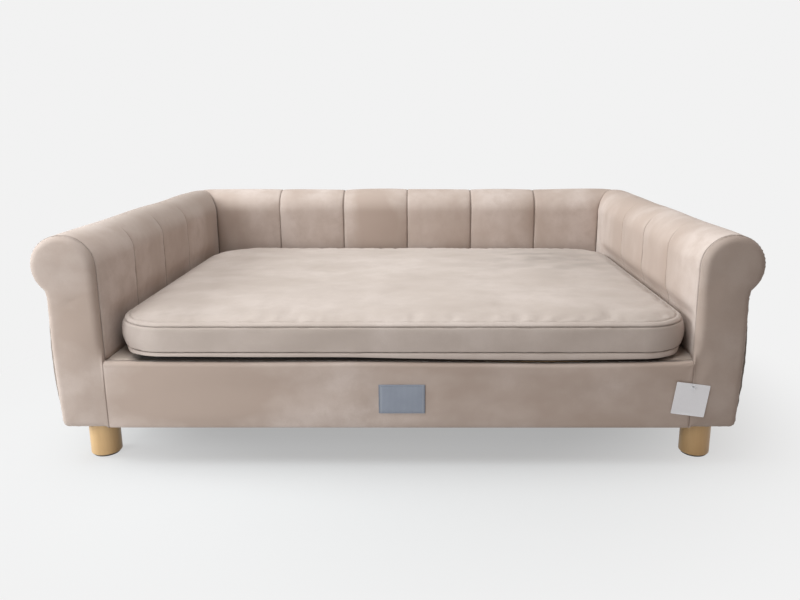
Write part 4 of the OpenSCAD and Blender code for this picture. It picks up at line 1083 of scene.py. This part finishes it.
# The border is one strip of the same velvet, closed to a ring. It stands between the two seams,
# swells softly, and puckers where it is sewn.
way = []
outline_x, outline_y = bed_px[edge], bed_py[edge]
for k in range(len(edge)):
    a = np.array([outline_x[k], outline_y[k]])
    b = np.array([outline_x[(k + 1) % len(edge)], outline_y[(k + 1) % len(edge)]])
    pieces = max(1, int(np.hypot(*(b - a)) / 0.0045))
    way += [a + (b - a) * i / pieces for i in range(pieces)]
way = np.array(way)
ahead, behind = np.roll(way, -1, 0), np.roll(way, 1, 0)
tangent = (ahead - behind) / np.linalg.norm(ahead - behind, axis=1)[:, None]
outward = np.column_stack([tangent[:, 1], -tangent[:, 0]])
outward *= np.sign((outward * (way - [bed_side, bed_middle])).sum(1))[:, None]
run = np.concatenate([[0], np.cumsum(np.hypot(*np.diff(way, axis=0).T))])
levels = np.array([0, 0.012, 0.035, 0.07, 0.12, 0.2, 0.3, 0.4, 0.5, 0.6, 0.7, 0.8, 0.88, 0.93, 0.965, 0.988, 1.0])
verts, sewn = [], []
for (x, y), (nx, ny), s in zip(way, outward, run):
    for level in levels:
        swell = max(0, 1 - (2 * level - 1) ** 4) ** 0.8
        end = min(level, 1 - level)
        out = 0.0016 * swell + 0.0044 * nx ** 2 * (1 - (2 * level - 1) ** 2)
        out += 0.0012 * swell * noise.noise(Vector((x / 0.09, y / 0.09, level * 1.4)))
        out += 0.0011 * math.exp(-end / 0.16) * noise.noise(Vector((x / 0.012, y / 0.012, 3 + (level > 0.5) * 4)))
        out -= 0.0011 * math.exp(-(end / 0.03) ** 2)
        out += 0.0009 * math.exp(-((level - 0.05) / 0.03) ** 2)
        verts.append((x + nx * out, y + ny * out, lower_seam + level * (upper_seam - lower_seam)))
        # Painted shade along both seams, stronger at the upper one.
        sewn.append((0.24 if level > 0.5 else 0.12) * math.exp(-(end / 0.016) ** 2))
    for z in (upper_seam, lower_seam):
        verts.append((x - nx * 0.0055, y - ny * 0.0016, z))
        sewn.append(1)
count = len(levels) + 2
faces = [tuple(i % len(verts) for i in face) for face in grid_faces(len(way) + 1, count, closed=True)]
band = shell("mattress_band", verts, faces, bed_velvet, "mattress", "velvet", sewn=sewn)
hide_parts("mattress_border")

# The underside is of the same velvet, with painted shade making it dark where it lies flat on the deck. It bellies
# out under the lower seam and hangs over the rail's edge, higher at its ends than in the middle.
(low_x, low_y, inset, facing), rows, columns = bed_grid(0.02)
share, on_belly = np.clip(inset / belly_in, 0, 1), inset <= belly_in + 0.0001
front = np.clip(-1.25 * facing[:, 1], 0, 1)
across = [-0.44, -0.40, -0.35, -0.29, -0.223, -0.15, -0.073, 0.0, 0.076, 0.15, 0.226, 0.30, 0.375, 0.42]
hung = [0.0068, 0.0072, 0.0078, 0.0074, 0.0066, 0.0067, 0.0066, 0.0045, 0.0027,
        0.0016, 0.0009, 0.0018, 0.0032, 0.0040]
lift = np.interp(low_x, across, hung)
belly = np.interp(share, [0, 0.2, 0.45, 0.7, 0.9, 1], [0, 0.0016, 0.0028, 0.0028, 0.0008, -0.004])
fall = np.interp(share, [0, 0.2, 0.45, 0.7, 0.9, 1], [0.1802, 0.1782, 0.1742, 0.1700, 0.1679, 0.1676])
weight = np.where(on_belly, np.maximum(front, 0.3), 0)
low_x = low_x + facing[:, 0] * (inset + belly * front) * weight
low_y = low_y + facing[:, 1] * (inset + belly * front) * weight
plain_z = base_edge_z - 0.0127 * np.sqrt(1 - (1 - share) ** 2)
front_z = fall + lift * share
low_z = np.where(on_belly, plain_z * (1 - front) + front_z * front, base_z)
past_belly = inset - belly_in - 0.0001
low_z = low_z + np.where(on_belly, 0, front * np.maximum(lift, 0) * np.exp(-past_belly / 0.02))
edge, skirt, faces = turned_in(low_x, low_y, rows, columns, (0.998, 0.998), base_edge_z)
# Painted shade: dark over the underside from 7 mm in, where it lies on the deck, and lightly along the seam's edge.
underside_shade = 0.12 * (inset < 0.0004) + 0.95 * np.clip((inset - 0.0071) / 0.002, 0, 1)
lower = np.column_stack([low_x, low_y, low_z])
base = shell("mattress_base", np.concatenate([lower, skirt]), faces, bed_velvet, "mattress", "velvet",
             sewn=np.concatenate([underside_shade, np.ones(len(edge))]))
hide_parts("mattress_bottom_panel")


# The zip of the mattress cover: a woven tape sewn on the border at the back, a row of brass
# teeth, and a slider with its pull.
zip_cloth = woven("zip_tape", (0.3, 0.235, 0.19, 1), (0.2, 0.155, 0.125, 1), 1400.0)
low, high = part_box("zip_tape")
columns_x = np.linspace(low[0], high[0], 121)
section = [(low[1], low[2] + 0.0003), (low[1] + 0.0001, low[2]), (high[1] - 0.0001, low[2])]
section += [(high[1], z) for z in (low[2] + 0.0003, *np.linspace(low[2] + 0.003, high[2] - 0.003, 5), high[2] - 0.0003)]
section += [(high[1] - 0.0001, high[2]), (low[1] + 0.0001, high[2]), (low[1], high[2] - 0.0003)]
verts = [(x, y, z) for x in columns_x for y, z in section]
tape = shell("zip_tape_sewn", verts, tube_faces(len(columns_x), len(section)), zip_cloth, "mattress", "zip",
             smooth=False)
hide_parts("zip_tape")

low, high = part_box("zip_chain")
mid_z, tooth_y = (low[2] + high[2]) / 2, (low[1] + high[1]) / 2
tooth_pitch = 0.00125
teeth = int((high[0] - low[0]) / tooth_pitch) - 1
tooth_points = [(x, y, z) for z, wide in ((-0.0019, 0.75), (-0.0006, 1.0), (0.0006, 1.0), (0.0018, 0.55))
                for x, y in ((-0.00048 * wide, -0.00062), (0.00048 * wide, -0.00062),
                             (0.00040 * wide, 0.00066), (-0.00040 * wide, 0.00066))]
tooth = small_mesh("tooth", tooth_points, tube_faces(4, 4))
spots = [(low[0] + 0.0012 + i * tooth_pitch, tooth_y, mid_z + (0.0006 if i % 2 else -0.0006)) for i in range(teeth)]
chain = scatter("zip_teeth", spots, [(0 if i % 2 == 0 else math.pi, 0, 0) for i in range(teeth)], [(1, 1, 1)] * teeth,
                tooth, brass, "mattress")
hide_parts("zip_chain")
dress(metal("brass_worn", (0.7, 0.5, 0.22, 1), 0.38)[0], "zip_slider", "zip_pull")


# A woven patch in blue-grey, bare of any print, is sewn on the front rail a little right of
# its middle, with small stitches all round.
patch_cloth = woven("patch_weave", (0.345, 0.375, 0.44, 1), (0.25, 0.275, 0.33, 1), 1100.0)
low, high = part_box("front_patch")
patch_x, patch_z = (low[0] + high[0]) / 2, (low[2] + high[2]) / 2
half_x, half_z, patch_r = (high[0] - low[0]) / 2, (high[2] - low[2]) / 2, 0.0012


def round_square(half_wide, half_tall, r, steps):
    """The outline of a rectangle with round corners, about its middle."""
    return [(sx * (half_wide - r) + r * math.cos(a), sz * (half_tall - r) + r * math.sin(a))
            for sx, sz, first in ((1, 1, 0), (-1, 1, 90), (-1, -1, 180), (1, -1, 270))
            for a in np.radians(np.linspace(first, first + 90, steps))]


def patch_ring(inset):
    line = round_square(half_x - inset, half_z - inset, max(patch_r - inset, 0.0003), 7)
    return [(patch_x + x, patch_z + z) for x, z in line]


verts = []
for inset, depth in ((0.0002, 0.0011), (0.0, 0.0007), (0.0001, 0.0004), (0.0005, 0.00015),
                     (0.0012, 0.0001), (0.0019, 0.0003), (0.0026, 0.0001), (0.006, 0.0)):
    verts += [(x, low[1] + depth, z) for x, z in patch_ring(inset)]
ring = len(patch_ring(0))
verts.append((patch_x, low[1], patch_z))
faces = grid_faces(8, ring, closed=True) + [list(range(ring))]
faces += [(7 * ring + j, 7 * ring + (j + 1) % ring, len(verts) - 1) for j in range(ring)]
patch = shell("patch_bare", verts, faces, patch_cloth, "frame", "patch")
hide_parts("front_patch")

grain = [(0.5 * math.cos(a) * w, 0.5 * math.sin(a) * w, x) for x, w in ((-0.35, 0.8), (0, 1.0), (0.35, 0.8))
         for a in np.linspace(0, 2 * math.pi, 6, endpoint=False)] + [(0, 0, -0.5), (0, 0, 0.5)]
grain_faces = grid_faces(3, 6, closed=True)
grain_faces += [(ring + j, ring + (j + 1) % 6, tip) for ring, tip in ((0, 18), (12, 19)) for j in range(6)]


def stitches(name, line, pitch, thread_r, material, body):
    """A row of stitches along a closed line of places, lying in the cloth."""
    ends = np.asarray(line, float)
    nxt = np.roll(ends, -1, 0)
    spans = np.linalg.norm(nxt - ends, axis=1)
    total = spans.sum()
    sums = np.concatenate([[0], np.cumsum(spans)])
    places, turns, sizes = [], [], []
    for i in range(int(total / pitch)):
        at = (i + 0.5) * pitch
        k = min(np.searchsorted(sums, at) - 1, len(spans) - 1)
        share = (at - sums[k]) / spans[k]
        way = Vector((nxt[k] - ends[k]) / spans[k])
        places.append(ends[k] + (nxt[k] - ends[k]) * share)
        turns.append(way.to_track_quat("Z", "Y").to_euler())
        sizes.append((2 * thread_r, 2 * thread_r, pitch * 0.78))
    stitch = small_mesh("stitch", grain, grain_faces)
    return scatter(name, places, [tuple(t) for t in turns], sizes, stitch, material, body)


tree = patch_cloth.node_tree
shader = next(n for n in tree.nodes if n.type == "BSDF_PRINCIPLED")
tone = shader.inputs["Base Color"].links[0].from_socket
off = reckon(tree, "ABSOLUTE", reckon(tree, "SUBTRACT", parts_of(tree, on_piece(tree))[0], patch_x))
fold = ramp(tree, off, half_x - 0.0014, half_x - 0.0008, 0.6)
hem = ramp(tree, off, half_x - 0.0052, half_x - 0.0042, 0.3)
tone = blend(tree, fold, blend(tree, hem, tone, (0.40, 0.415, 0.46, 1)), (0.1, 0.11, 0.14, 1))
paint(tree, shader, tone)
thread_grey = finish("thread_grey", {"Base Color": (0.14, 0.155, 0.2, 1), "Roughness": 0.6})[0]
stitches("patch_stitches", [(x, low[1] + 0.0001, z) for x, z in patch_ring(0.0019)], 0.0024, 0.0002,
         thread_grey, "frame")


# A square white card hangs on a clear plastic pin in the seam of the right arm front, a little
# turned. It is bare, with one punched hole.
card_white, tree, shader = finish("card_white", {"Roughness": 0.5, "Specular IOR Level": 0.35})
fleck = speckle(tree, spot(tree), 500.0, 3)
paint(tree, shader, blend(tree, fleck, (0.80, 0.79, 0.82, 1), (0.86, 0.85, 0.87, 1)))
relief(tree, shader, [(fleck, 0.00005, 0.2)])
low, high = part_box("swing_tag")
lean = math.radians(7.5)
right = np.array([math.cos(lean), -math.sin(lean)])
down = np.array([-math.sin(lean), -math.cos(lean)])
pivot = np.array([tag_x, tag_z])
half = 0.02525
centre = pivot + down * (half - 0.0046)


def card_place(a, b, y):
    """A place on the card: a to its right, b up from its middle."""
    x, z = centre + right * a - down * b
    return (x, y, z)


hole_r, hole_b = 0.0016, half - 0.0046
hole = [(hole_r * math.cos(a), hole_b + hole_r * math.sin(a)) for a in np.linspace(0, 2 * math.pi, 24, endpoint=False)]
flat_places, edges = closed_lines((round_square(half, half, 0.0012, 5), hole))
for a in np.linspace(-0.022, 0.022, 12):
    for b in np.linspace(-0.022, 0.022, 12):
        if math.hypot(a, b - hole_b) > hole_r + 0.0012:
            flat_places.append(Vector((a, b)))
flat_verts, _, flat_faces, *_ = geometry.delaunay_2d_cdt(flat_places, edges, [], 0, 1e-7)
flat_faces = [f for f in flat_faces
              if (sum((flat_verts[i] for i in f), Vector((0, 0))) / 3 - Vector((0, hole_b))).length > hole_r]
verts = []
for y in (low[1] + 0.0001, high[1] - 0.0001):
    verts += [card_place(v.x, v.y, y - 0.0007 * (v.x / half) ** 2 * max(0, (hole_b - v.y) / (2 * half)))
              for v in flat_verts]
card = shell("card_bare", verts, both_sides(flat_faces, len(flat_verts)), card_white, "swing_tag", "card",
             smooth=False)
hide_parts("swing_tag")

clear_plastic = finish("clear_plastic", {"Base Color": (0.95, 0.96, 0.97, 1), "Roughness": 0.12, "IOR": 1.49,
                                         "Transmission Weight": 0.85})[0]
dress(clear_plastic, "tag_pin")
